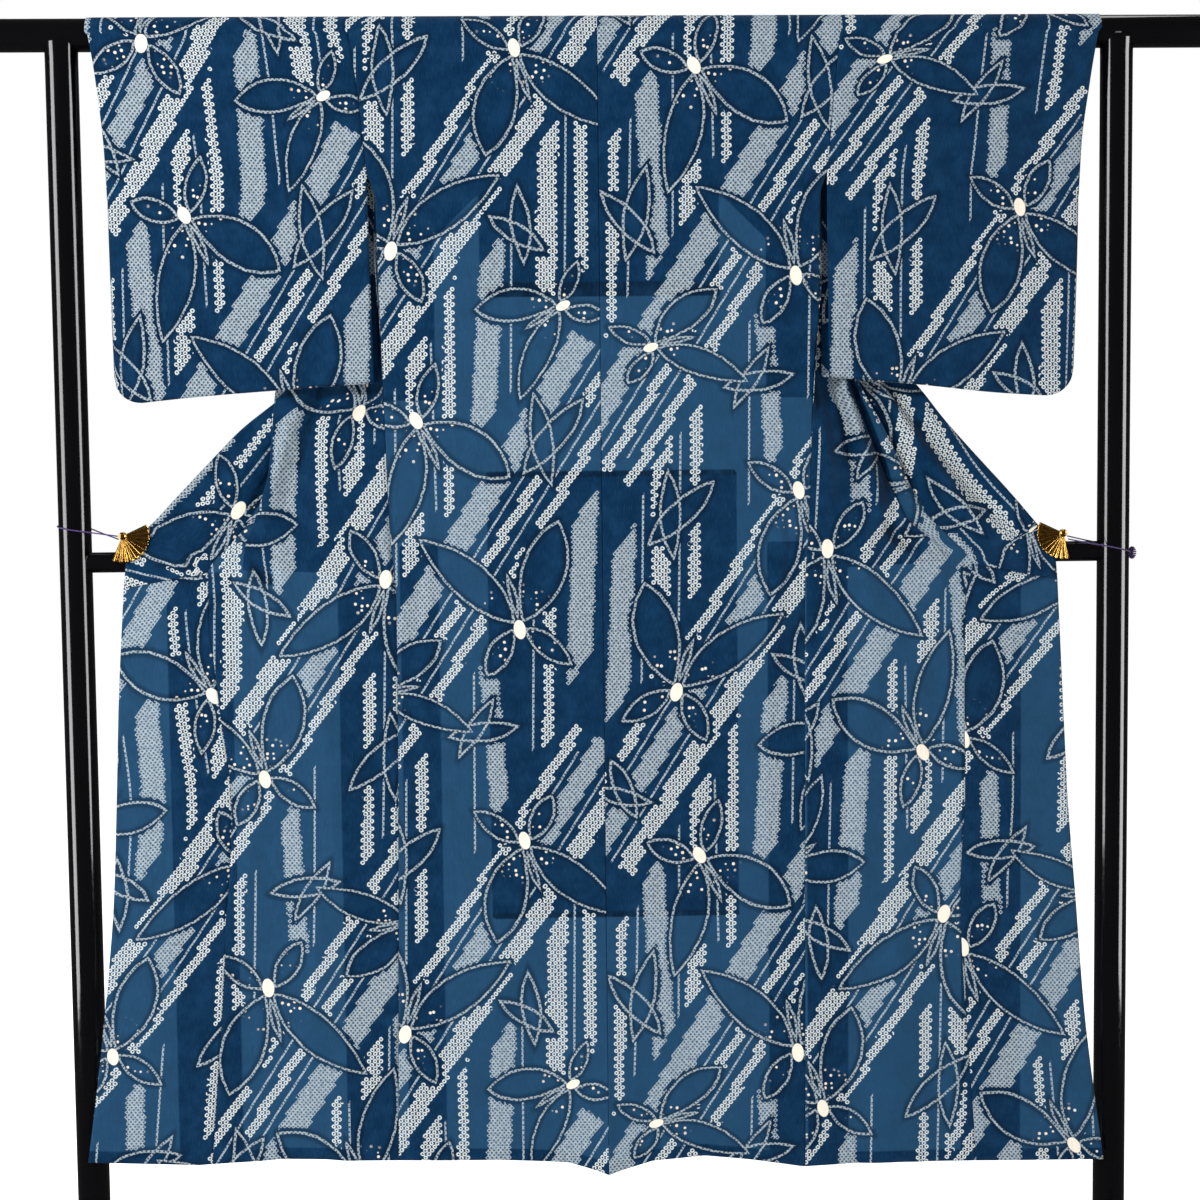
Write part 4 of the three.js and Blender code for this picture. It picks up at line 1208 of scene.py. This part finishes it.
def motif_marks(tree, place, hand):
    """The outlines of the motifs, the flowers' hearts and the dots round them."""
    x, y, size = layer_fields(tree, "flower")
    wander = hand * 0.0030
    flower = flower_distance(x, y) * size + wander
    twin_x, twin_y, twin_size = layer_fields(tree, "twin")
    twin = abs(leaf_distance(twin_x, twin_y, TWIN_LEAVES[0]) * twin_size + wander)
    twin = least(twin, abs(leaf_distance(twin_x, twin_y, TWIN_LEAVES[1]) * twin_size - wander))
    twin = twin + flower.below(0.002) * 0.1
    outline = least(abs(flower), twin).ramp(OUTLINE_HALF + 0.0004, OUTLINE_HALF - 0.0006)
    heart = length(x / HEART_ACROSS, (y + 0.004) / HEART_ALONG).ramp(1.06, 0.94)
    reach = length(x, y)
    dots = nearest_dot(tree, place, 118.0).ramp(0.29, 0.20)
    seeds = dots * reach.ramp(0.016, 0.018) * reach.ramp(0.060, 0.048)
    seeds = seeds * flower.ramp(-0.002, -0.0045) * 0.85
    return outline * heart.ramp(0.5, 0.0), heart, seeds


def cloth_material():
    material, tree, shader = new_material("dyed_cloth", 0.8, Specular_IOR_Level=0.05,
                                          Sheen_Weight=0.01, Sheen_Roughness=0.4)
    u, v = place_on_bolt(tree)
    place = vector_of(tree, u, v)
    clear = layer_fields(tree, "clear")
    rings, specks, lines, hearts = dyed_pattern(tree, place, u, v, clear)
    doubled, deepest_and_trough_shade, _ = (layer.ramp(-0.0012, 0.0012) for layer in layer_fields(tree, "layers_and_shade"))
    # Painted light: single cloth paler, as lit through from behind, doubled cloth darker
    ground = mixed(tree, doubled, GROUND_SINGLE_BACKLIT, GROUND_DOUBLED)
    # Darkest ground where a lining's turned edge lies behind, and painted shade in deep crease
    # troughs
    ground = mixed(tree, deepest_and_trough_shade, ground, GROUND_DEEPEST_AND_TROUGH_SHADE)
    cloudy = noise(tree, place, 38, detail=4, roughness=0.6)
    ground = mixed(tree, cloudy.ramp(0.3, 0.85) * 0.2, ground, srgb(36, 84, 124))
    slub = noise(tree, vector_of(tree, u * 1300.0, v * 90.0), 1.0, detail=1)
    ground = mixed(tree, slub.ramp(0.45, 0.85) * 0.15, ground, srgb(50, 96, 134))
    near_dye = abs(clear[0]).ramp(SHADE_REACH, 0.003)
    ground = mixed(tree, near_dye * 0.5, ground, GROUND_NEAR_DYE)
    colour = mixed(tree, specks * 0.85, ground, PALE_DYE)
    colour = mixed(tree, lines * 0.85, colour, PALE_DYE)
    colour = mixed(tree, rings * 0.95, colour, WHITE_DYE)
    colour = mixed(tree, hearts * 0.95, colour, HEART_DYE)
    tree.links.new(colour, shader.inputs["Base Color"])
    crinkle = noise(tree, vector_of(tree, u * 120.0, v * 42.0), 1.0, detail=3, roughness=0.6)
    weave = noise(tree, vector_of(tree, u * 900.0, v * 900.0), 1.0, detail=0)
    bump(tree, shader, crinkle * 0.8 + weave * 0.1, 0.0022)
    return material


def lining_material():
    """Plain indigo cloth with a fine plain weave."""
    material, tree, shader = new_material("plain_lining", 0.8)
    place = vector_of(tree, *place_on_bolt(tree))
    threads = noise(tree, place, 900, detail=1)
    cloudy = noise(tree, place, 25, detail=3)
    colour = mixed(tree, cloudy, srgb(22, 52, 84), srgb(34, 68, 100))
    tree.links.new(mixed(tree, threads * 0.3, colour, srgb(52, 88, 118)),
                   shader.inputs["Base Color"])
    bump(tree, shader, threads, 0.0003)
    return material


def own_place(tree):
    return tree.nodes.new("ShaderNodeTexCoord").outputs["Object"]


def lacquer_material():
    """Black lacquer with slow waves and fine dust in its gloss."""
    material, tree, shader = new_material("black_lacquer", 0.1, Specular_IOR_Level=0.5)
    place = own_place(tree)
    cloudy = noise(tree, place, 9, detail=3)
    tree.links.new(mixed(tree, cloudy, srgb(2, 2, 3), srgb(7, 6, 8)),
                   shader.inputs["Base Color"])
    dust = noise(tree, place, 420, detail=3, roughness=0.7)
    plug(tree, dust.ramp(0.35, 0.9) * 0.14 + 0.07, shader.inputs["Roughness"])
    bump(tree, shader, cloudy * 0.9 + dust * 0.02, 0.0006)
    return material


def gold_material():
    """Gilded brass, a little darker and rougher in patches."""
    material, tree, shader = new_material("gilded_brass", 0.24, Metallic=1.0)
    place = own_place(tree)
    worn = noise(tree, place, 160, detail=4, roughness=0.6)
    tree.links.new(mixed(tree, worn.ramp(0.3, 0.75), srgb(212, 168, 84), srgb(132, 92, 40)),
                   shader.inputs["Base Color"])
    plug(tree, worn.ramp(0.3, 0.8) * 0.16 + 0.18, shader.inputs["Roughness"])
    bump(tree, shader, noise(tree, place, 900, detail=2), 0.00008)
    return material


def cord_material():
    """Violet silk, twisted from two strands, with painted shade: darker in the twist's grooves,
    paler on its crests.
    """
    material, tree, shader = new_material("violet_silk", 0.55, Sheen_Weight=0.1)
    x, y, z = parts_of(tree, own_place(tree))
    twist_relief_and_shade = ((x + y + z * 1.3) * 2600.0).sin() * 0.5 + 0.5
    fuzz = noise(tree, own_place(tree), 2400, detail=1)
    # Painted shade: the colour follows the twist's relief, dark in its grooves and pale on its
    # crests
    colour = mixed(tree, twist_relief_and_shade, srgb(24, 8, 50), srgb(60, 28, 106))
    tree.links.new(mixed(tree, fuzz * 0.3, colour, srgb(92, 60, 140)),
                   shader.inputs["Base Color"])
    bump(tree, shader, twist_relief_and_shade, 0.0004)
    return material


def floor_material():
    """A plain white floor, faintly uneven."""
    material, tree, shader = new_material(
        "white_floor", 0.9, Specular_IOR_Level=0.0, Emission_Color=(1, 1, 1, 1),
        Emission_Strength=FLOOR_GLOW)
    cloudy = noise(tree, own_place(tree), 1.2, detail=2)
    tree.links.new(mixed(tree, cloudy, (0.9, 0.9, 0.9, 1), (0.94, 0.94, 0.94, 1)),
                   shader.inputs["Base Color"])
    return material


# Camera, cords, light and floor
def build_camera():
    camera = bpy.data.cameras.new("camera")
    camera.type = "PERSP"
    camera.lens = FOCAL_LENGTH
    camera.sensor_width = SENSOR
    camera.sensor_fit = "HORIZONTAL"
    camera.clip_end = 200
    holder = bpy.data.objects.new("camera", camera)
    bpy.context.scene.collection.objects.link(holder)
    forward = Vector((math.sin(CAMERA_YAW) * math.cos(CAMERA_TILT),
                      math.cos(CAMERA_YAW) * math.cos(CAMERA_TILT), -math.sin(CAMERA_TILT)))
    level = Vector((math.cos(CAMERA_YAW), -math.sin(CAMERA_YAW), 0))
    upright = level.cross(forward)
    right = level * math.cos(CAMERA_ROLL) + upright * math.sin(CAMERA_ROLL)
    up = upright * math.cos(CAMERA_ROLL) - level * math.sin(CAMERA_ROLL)
    turn = Matrix((right, up, -forward)).transposed().to_4x4()
    holder.matrix_world = Matrix.Translation(CAMERA_PLACE) @ turn
    bpy.context.scene.camera = holder
    bpy.context.scene.view_settings.view_transform = "Standard"


# Lights: place, middle of what they light, width and height, power, and whether they light
# the scene, or show in lacquer and gold
LIGHTS = {
    "front_box": ((-2.4, -3.0, 3.1), (0, 0, 0.9), (0.8, 0.8), 165, True, False),
    "left_box": ((-2.9, -0.1, 1.3), (-0.6, 0, 0.9), (0.5, 2.2), 20, True, False),
    "right_box": ((2.9, 0.1, 1.3), (0.6, 0, 0.9), (0.5, 2.2), 14, True, False),
    "top_box": ((0.2, 0.6, 3.4), (0, 0, 0.8), (2.4, 1.6), 36, True, True),
    "front_streak": ((-2.4, -3.0, 3.1), (0, 0, 0.9), (0.8, 0.8), 5, False, True),
    "left_streak": ((-2.6, -1.15, 1.0), (0, 0, 1.0), (1.1, 3.0), 105, False, True),
    "right_streak": ((2.7, -1.0, 1.0), (0, 0, 1.0), (1.1, 3.0), 105, False, True),
}


def area_light(name, place, target, size, power, lights, mirrored):
    light = bpy.data.lights.new(name, "AREA")
    light.shape = "RECTANGLE"
    light.size, light.size_y = size
    light.energy = power
    holder = bpy.data.objects.new(name, light)
    bpy.context.scene.collection.objects.link(holder)
    holder.location = place
    holder.visible_camera = False
    holder.visible_diffuse = lights
    holder.visible_glossy = mirrored
    holder.rotation_euler = (Vector(target) - Vector(place)).to_track_quat("-Z", "Y").to_euler()


def build_light():
    """A pale room: soft boxes light the cloth, and two tall ones show in lacquer and gold."""
    world = bpy.data.worlds.new("room")
    bpy.context.scene.world = world
    world.use_nodes = True
    tree = world.node_tree
    shade = tree.nodes["Background"]
    shade.inputs["Color"].default_value = (1, 1, 1, 1)
    sight = tree.nodes.new("ShaderNodeLightPath")
    seen = Field(tree, sight.outputs["Is Camera Ray"])
    gloss = Field(tree, sight.outputs["Is Glossy Ray"])
    strength = seen * (ROOM_SEEN - ROOM_LIGHT) + gloss * (ROOM_GLOSS - ROOM_LIGHT) + ROOM_LIGHT
    plug(tree, strength, shade.inputs["Strength"])
    for name, row in LIGHTS.items():
        area_light(name, *row)


def build_floor(material):
    half = 14
    corners = [(-half, -half, 0), (half, -half, 0), (half, half, 0), (-half, half, 0)]
    mesh = bpy.data.meshes.new("floor")
    mesh.from_pydata(corners, [], [(0, 1, 2, 3)])
    mesh.materials.append(material)
    floor = bpy.data.objects.new("floor", mesh)
    floor.location.z = -0.0005
    floor.visible_glossy = False
    bpy.context.scene.collection.objects.link(floor)


# The fans' clips: middle in the robe's millimetres, and the angles that each fan spans
CLIPS = {
    "left": {"x": -630, "drop": 673, "start": 0.44, "end": -2.0},
    "right": {"x": 614, "drop": 683, "start": 2.7, "end": 4.95},
}
FAN_REACH = 36
FAN_ROOT = 4
FAN_FOLDS = 11
FAN_LIFT = 1.6
FAN_WALL = 1
FAN_SHOWN_WALL = 0.7
FAN_SCALLOP = 0.035
JAW_REACH = 30
JAW_WALL = 1.4
PIN_RADIUS = 5

# Each cord's heights above the rail as it leaves its clip, goes round the post and comes back
CORD_RADIUS = 0.9
CORD_POINTS = 131
KNOT_RADIUS = 6
KNOT_STRETCH = 1.5
KNOT_OVERLAP = 0.6
KNOT_TURNS = 9
KNOT_POINTS = 220
# The place on a cord's route where it is furthest out, behind the knot
OUTERMOST = 6
CORD_LOOPS = {
    "left": {"start": -651, "front": -642, "outer": -637, "behind": -638, "inner": -641,
             "end": -655},
    "right": {"start": -669, "front": -682, "outer": -689, "behind": -683, "inner": -676,
              "end": -665},
}


def cord_route(side):
    """The places that a cord passes, in metres, from its clip round the post and back."""
    sign = SIGNS[side]
    high = CORD_LOOPS[side]
    loop = RAIL_RADIUS + SEAM_GAP + CORD_RADIUS
    clip_x = sign * (CLIPS[side]["x"] + GARMENT_SHIFT)
    beside = clip_x + PIN_RADIUS + SEAM_GAP + CORD_RADIUS

    def around(degrees, z):
        angle = math.radians(degrees)
        return (POST_X - loop * math.cos(angle), loop * math.sin(angle), z)

    def mix(first, second, share):
        return high[first] + (high[second] - high[first]) * share

    places = [
        (beside, -21, high["start"]),
        ((beside + POST_X) / 2, -22, mix("start", "front", 0.5)),
        around(-92, high["front"]),
        around(-115, mix("front", "outer", 0.3)),
        around(-140, mix("front", "outer", 0.6)),
        around(-165, mix("front", "outer", 0.9)),
        around(-190, high["outer"]),
        around(-215, mix("outer", "behind", 0.5)),
        around(-240, mix("outer", "behind", 0.8)),
        around(-265, high["behind"]),
        around(-290, mix("behind", "inner", 0.5)),
        around(-312, high["inner"]),
        ((beside + POST_X - 15) / 2, -2, mix("inner", "end", 0.5)),
        (beside, -18, high["end"]),
    ]
    return [Vector((sign * x, y, z + RAIL_HEIGHT)) * MM for x, y, z in places]


def silk_line(name, points, roundness, material):
    """A cord of silk along a row of points."""
    curve = bpy.data.curves.new(name, "CURVE")
    curve.dimensions = "3D"
    curve.bevel_depth = CORD_RADIUS * MM
    curve.bevel_resolution = roundness
    curve.use_fill_caps = True
    spline = curve.splines.new("POLY")
    spline.points.add(len(points) - 1)
    for point, place in zip(spline.points, points):
        point.co = (*place, 1)
    return new_object(name, curve, material)


def build_cord(side, material):
    route = np.array(cord_route(side))
    points = through(route[None], np.linspace(0, len(route) - 1, CORD_POINTS))[0]
    cord = silk_line(f"cord_{side}_silk", points, 4, material)
    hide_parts(f"cord_{side}")
    knots = [build_knot(side, material)] if side == "right" else []
    return cord


def build_knot(side, material):
    """A round knot outside the post, wound from a few turns of the same cord."""
    place = np.array(cord_route(side)[OUTERMOST])
    place[0] += SIGNS[side] * (KNOT_RADIUS - KNOT_OVERLAP) * MM
    t = np.linspace(0, 1, KNOT_POINTS)
    polar = math.pi * t
    around = 2 * math.pi * KNOT_TURNS * t
    core = (KNOT_RADIUS - CORD_RADIUS) * MM
    points = place + core * np.stack([np.sin(polar) * np.cos(around),
                                      np.sin(polar) * np.sin(around),
                                      KNOT_STRETCH * np.cos(polar)], axis=1)
    return silk_line("knot_silk", points, 3, material)


def turned(name, profile, material, axis, place, sides=72):
    """A round piece turned about an axis, from a profile of (along, radius) in metres."""
    along, radius = np.array(profile).T
    angle = np.arange(sides) * 2 * math.pi / sides
    ring = np.stack([np.cos(angle), np.sin(angle)])
    others = [k for k in range(3) if k != axis]
    points = np.zeros((len(along), sides, 3))
    points[..., axis] = along[:, None]
    points[..., others[0]] = radius[:, None] * ring[0]
    points[..., others[1]] = radius[:, None] * ring[1]
    index = np.arange(len(along) * sides).reshape(len(along), sides)
    after = np.roll(index, -1, axis=1)
    faces = np.stack([index[:-1], after[:-1], after[1:], index[1:]], axis=-1).reshape(-1, 4)
    caps = [list(index[0][::-1]), list(index[-1])]
    mesh = mesh_from(name, points + np.array(place), [*faces.tolist(), *caps])
    if axis == 1:
        mesh.flip_normals()
    return new_object(name, mesh, material)


def soft_end(start, end, radius, soften, steps=5):
    """Profile of a bar whose ends are rounded off."""
    angles = np.linspace(0, math.pi / 2, steps)
    first = [(start + soften * (1 - math.sin(a)), radius - soften * (1 - math.cos(a)))
             for a in angles[::-1]]
    last = [(end - (along - start), r) for along, r in reversed(first)]
    return first + last


def build_stand(material):
    radius = RAIL_RADIUS * MM
    height = RAIL_HEIGHT * MM
    rail = turned("rail_lacquer", soft_end(rail_low[0], rail_high[0], radius, 0.003), material,
                  0, (0, 0, height))
    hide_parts("top_rail")
    mid = turned("mid_rail_lacquer", soft_end(mid_low[0], mid_high[0], MID_RADIUS * MM, 0.0005),
                 material, 0, (0, 0, MID_HEIGHT * MM))
    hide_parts("mid_rail")
    for side, sign in SIGNS.items():
        flare = [(height - 0.005 - 0.03 * (1 - t), radius + 0.0012 * t * t)
                 for t in np.linspace(0, 1, 5)]
        profile = soft_end(post_low[2], height, radius, 0.0006)[:5] + flare
        post = turned(f"post_{side}_lacquer", profile, material, 2,
                      (sign * POST_X * MM, 0, 0))
        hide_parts(f"post_{side}")
        foot = bpy.data.objects[f"foot_{side}"]
        for slot in foot.material_slots:
            slot.material = material


def fan_grid(clip, reach, height_at, steps, radii):
    """A sector of a disc beside a clip's pin, with its depth given by a function."""
    middle_x, middle_z = clip["x"], FOLD_RADIUS - clip["drop"]
    t = np.linspace(0, 1, steps)[:, None]
    angle = clip["start"] + (clip["end"] - clip["start"]) * t
    share = np.linspace(0, 1, radii)[None, :]
    radius = FAN_ROOT + (reach(t) - FAN_ROOT) * share
    x = middle_x + radius * np.cos(angle)
    z = middle_z + radius * np.sin(angle)
    return cloth_points(x, height_at(t, share), FOLD_RADIUS - z)


def build_clip(side, material):
    clip = CLIPS[side]
    fan_y = COLLAR_END_DEPTH - HALF_WALL - SEAM_GAP - FAN_WALL / 2 - FAN_LIFT

    def scallop(t):
        return FAN_REACH * (1 - FAN_SCALLOP * np.abs(np.cos(math.pi * FAN_FOLDS * t)) ** 0.6)

    def pleat(t, share):
        wave = 1 - 2 * np.abs(((FAN_FOLDS * t) % 1) * 2 - 1)
        return fan_y - FAN_LIFT * wave * (0.15 + 0.85 * share)

    steps = FAN_FOLDS * 8 + 1
    fan_mesh, _ = shell(f"fan_{side}", fan_grid(clip, scallop, pleat, steps, 14),
                        FAN_SHOWN_WALL * MM)
    fan = new_object(f"fan_{side}", fan_mesh, material)
    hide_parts(f"clip_{side}")
    jaw_y = COLLAR_END_DEPTH + HALF_WALL + SEAM_GAP + JAW_WALL / 2
    inner = dict(clip, start=clip["start"] + 0.2 * (clip["end"] - clip["start"]),
                 end=clip["start"] + 0.8 * (clip["end"] - clip["start"]))
    jaw_mesh, _ = shell(f"jaw_{side}", fan_grid(inner, lambda t: JAW_REACH + 0 * t,
                                                lambda t, share: jaw_y + 0 * (t + share), 25, 8),
                        JAW_WALL * MM)
    jaw = new_object(f"jaw_{side}", jaw_mesh, material)
    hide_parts(f"clip_{side}")
    front = fan_y - 2.5
    back = jaw_y + JAW_WALL / 2
    profile = [(back, PIN_RADIUS - 0.6), (back - 0.4, PIN_RADIUS), (front + 1.6, PIN_RADIUS),
               (front + 1.2, PIN_RADIUS - 0.6), (front + 0.9, PIN_RADIUS - 1.4),
               (front + 0.5, PIN_RADIUS - 1.5), (front + 0.15, PIN_RADIUS - 2.2),
               (front, PIN_RADIUS - 3.4)]
    place = cloth_points(clip["x"], 0, clip["drop"])
    pin = turned(f"pin_{side}", [(y * MM, r * MM) for y, r in profile[::-1]], material, 1,
                 place, sides=32)
    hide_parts(f"clip_{side}")


# Panels: what makes the grid, the row on top of the rail or at the panel's own top, the cut's
# width and length in metres, and how it is held
PANELS = {
    "back": (back_grid, RAIL_ROWS // 2, (0.31, 1.58), "hung"),
    "front": (front_grid, 0, (0.24, 1.50), "gathered"),
    "overlap": (overlap_grid, 0, (0.155, 0.80), "hung"),
    "sleeve": (sleeve_grid, 0, (0.34, 1.03), "hung"),
}


def build_cloth(panel, grid, top_row, far_row, material):
    mesh, faces = shell(panel + "_cloth", creased(panel, grid, far_row), SHOWN_WALL * MM)
    print_cloth(mesh, faces, bolt_places(panel, grid, top_row), cloth_layers_and_shade(panel, grid))
    cloth = new_object(panel + "_cloth", mesh, material)
    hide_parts(panel)


def build_panel(part, side, material):
    maker, top_row, flat, held = PANELS[part]
    grid = maker(side)
    far_row = None
    if part == "sleeve":
        top_row = (len(grid) - 1) // 2
        far_row = top_row + 1
    build_cloth(f"{part}_{side}", grid, top_row, far_row, material)


def build_lining(name, material):
    sizes, flat = LININGS[name]
    grid = lining_grid(*sizes)
    places = np.stack([along_rows(grid), along_columns(grid)], axis=-1).reshape(-1, 2)
    mesh, faces = shell(name + "_cloth", grid, SHOWN_WALL * MM)
    uv = mesh.uv_layers.new(name="cloth")
    uv.data.foreach_set("uv", np.concatenate([places, places])[faces].ravel())
    lining = new_object(name + "_cloth", mesh, material)
    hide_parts(name)


def build_robe():
    cloth = cloth_material()
    for part in PANELS:
        for side in SIGNS:
            build_panel(part, side, cloth)
    build_cloth("collar", collar_grid(), 0, None, cloth)
    indigo = lining_material()
    for name in LININGS:
        build_lining(name, indigo)


build_camera()
silk = cord_material()
for side in SIGNS:
    build_cord(side, silk)
gold = gold_material()
for side in SIGNS:
    build_clip(side, gold)
build_stand(lacquer_material())
build_robe()
build_light()
build_floor(floor_material())
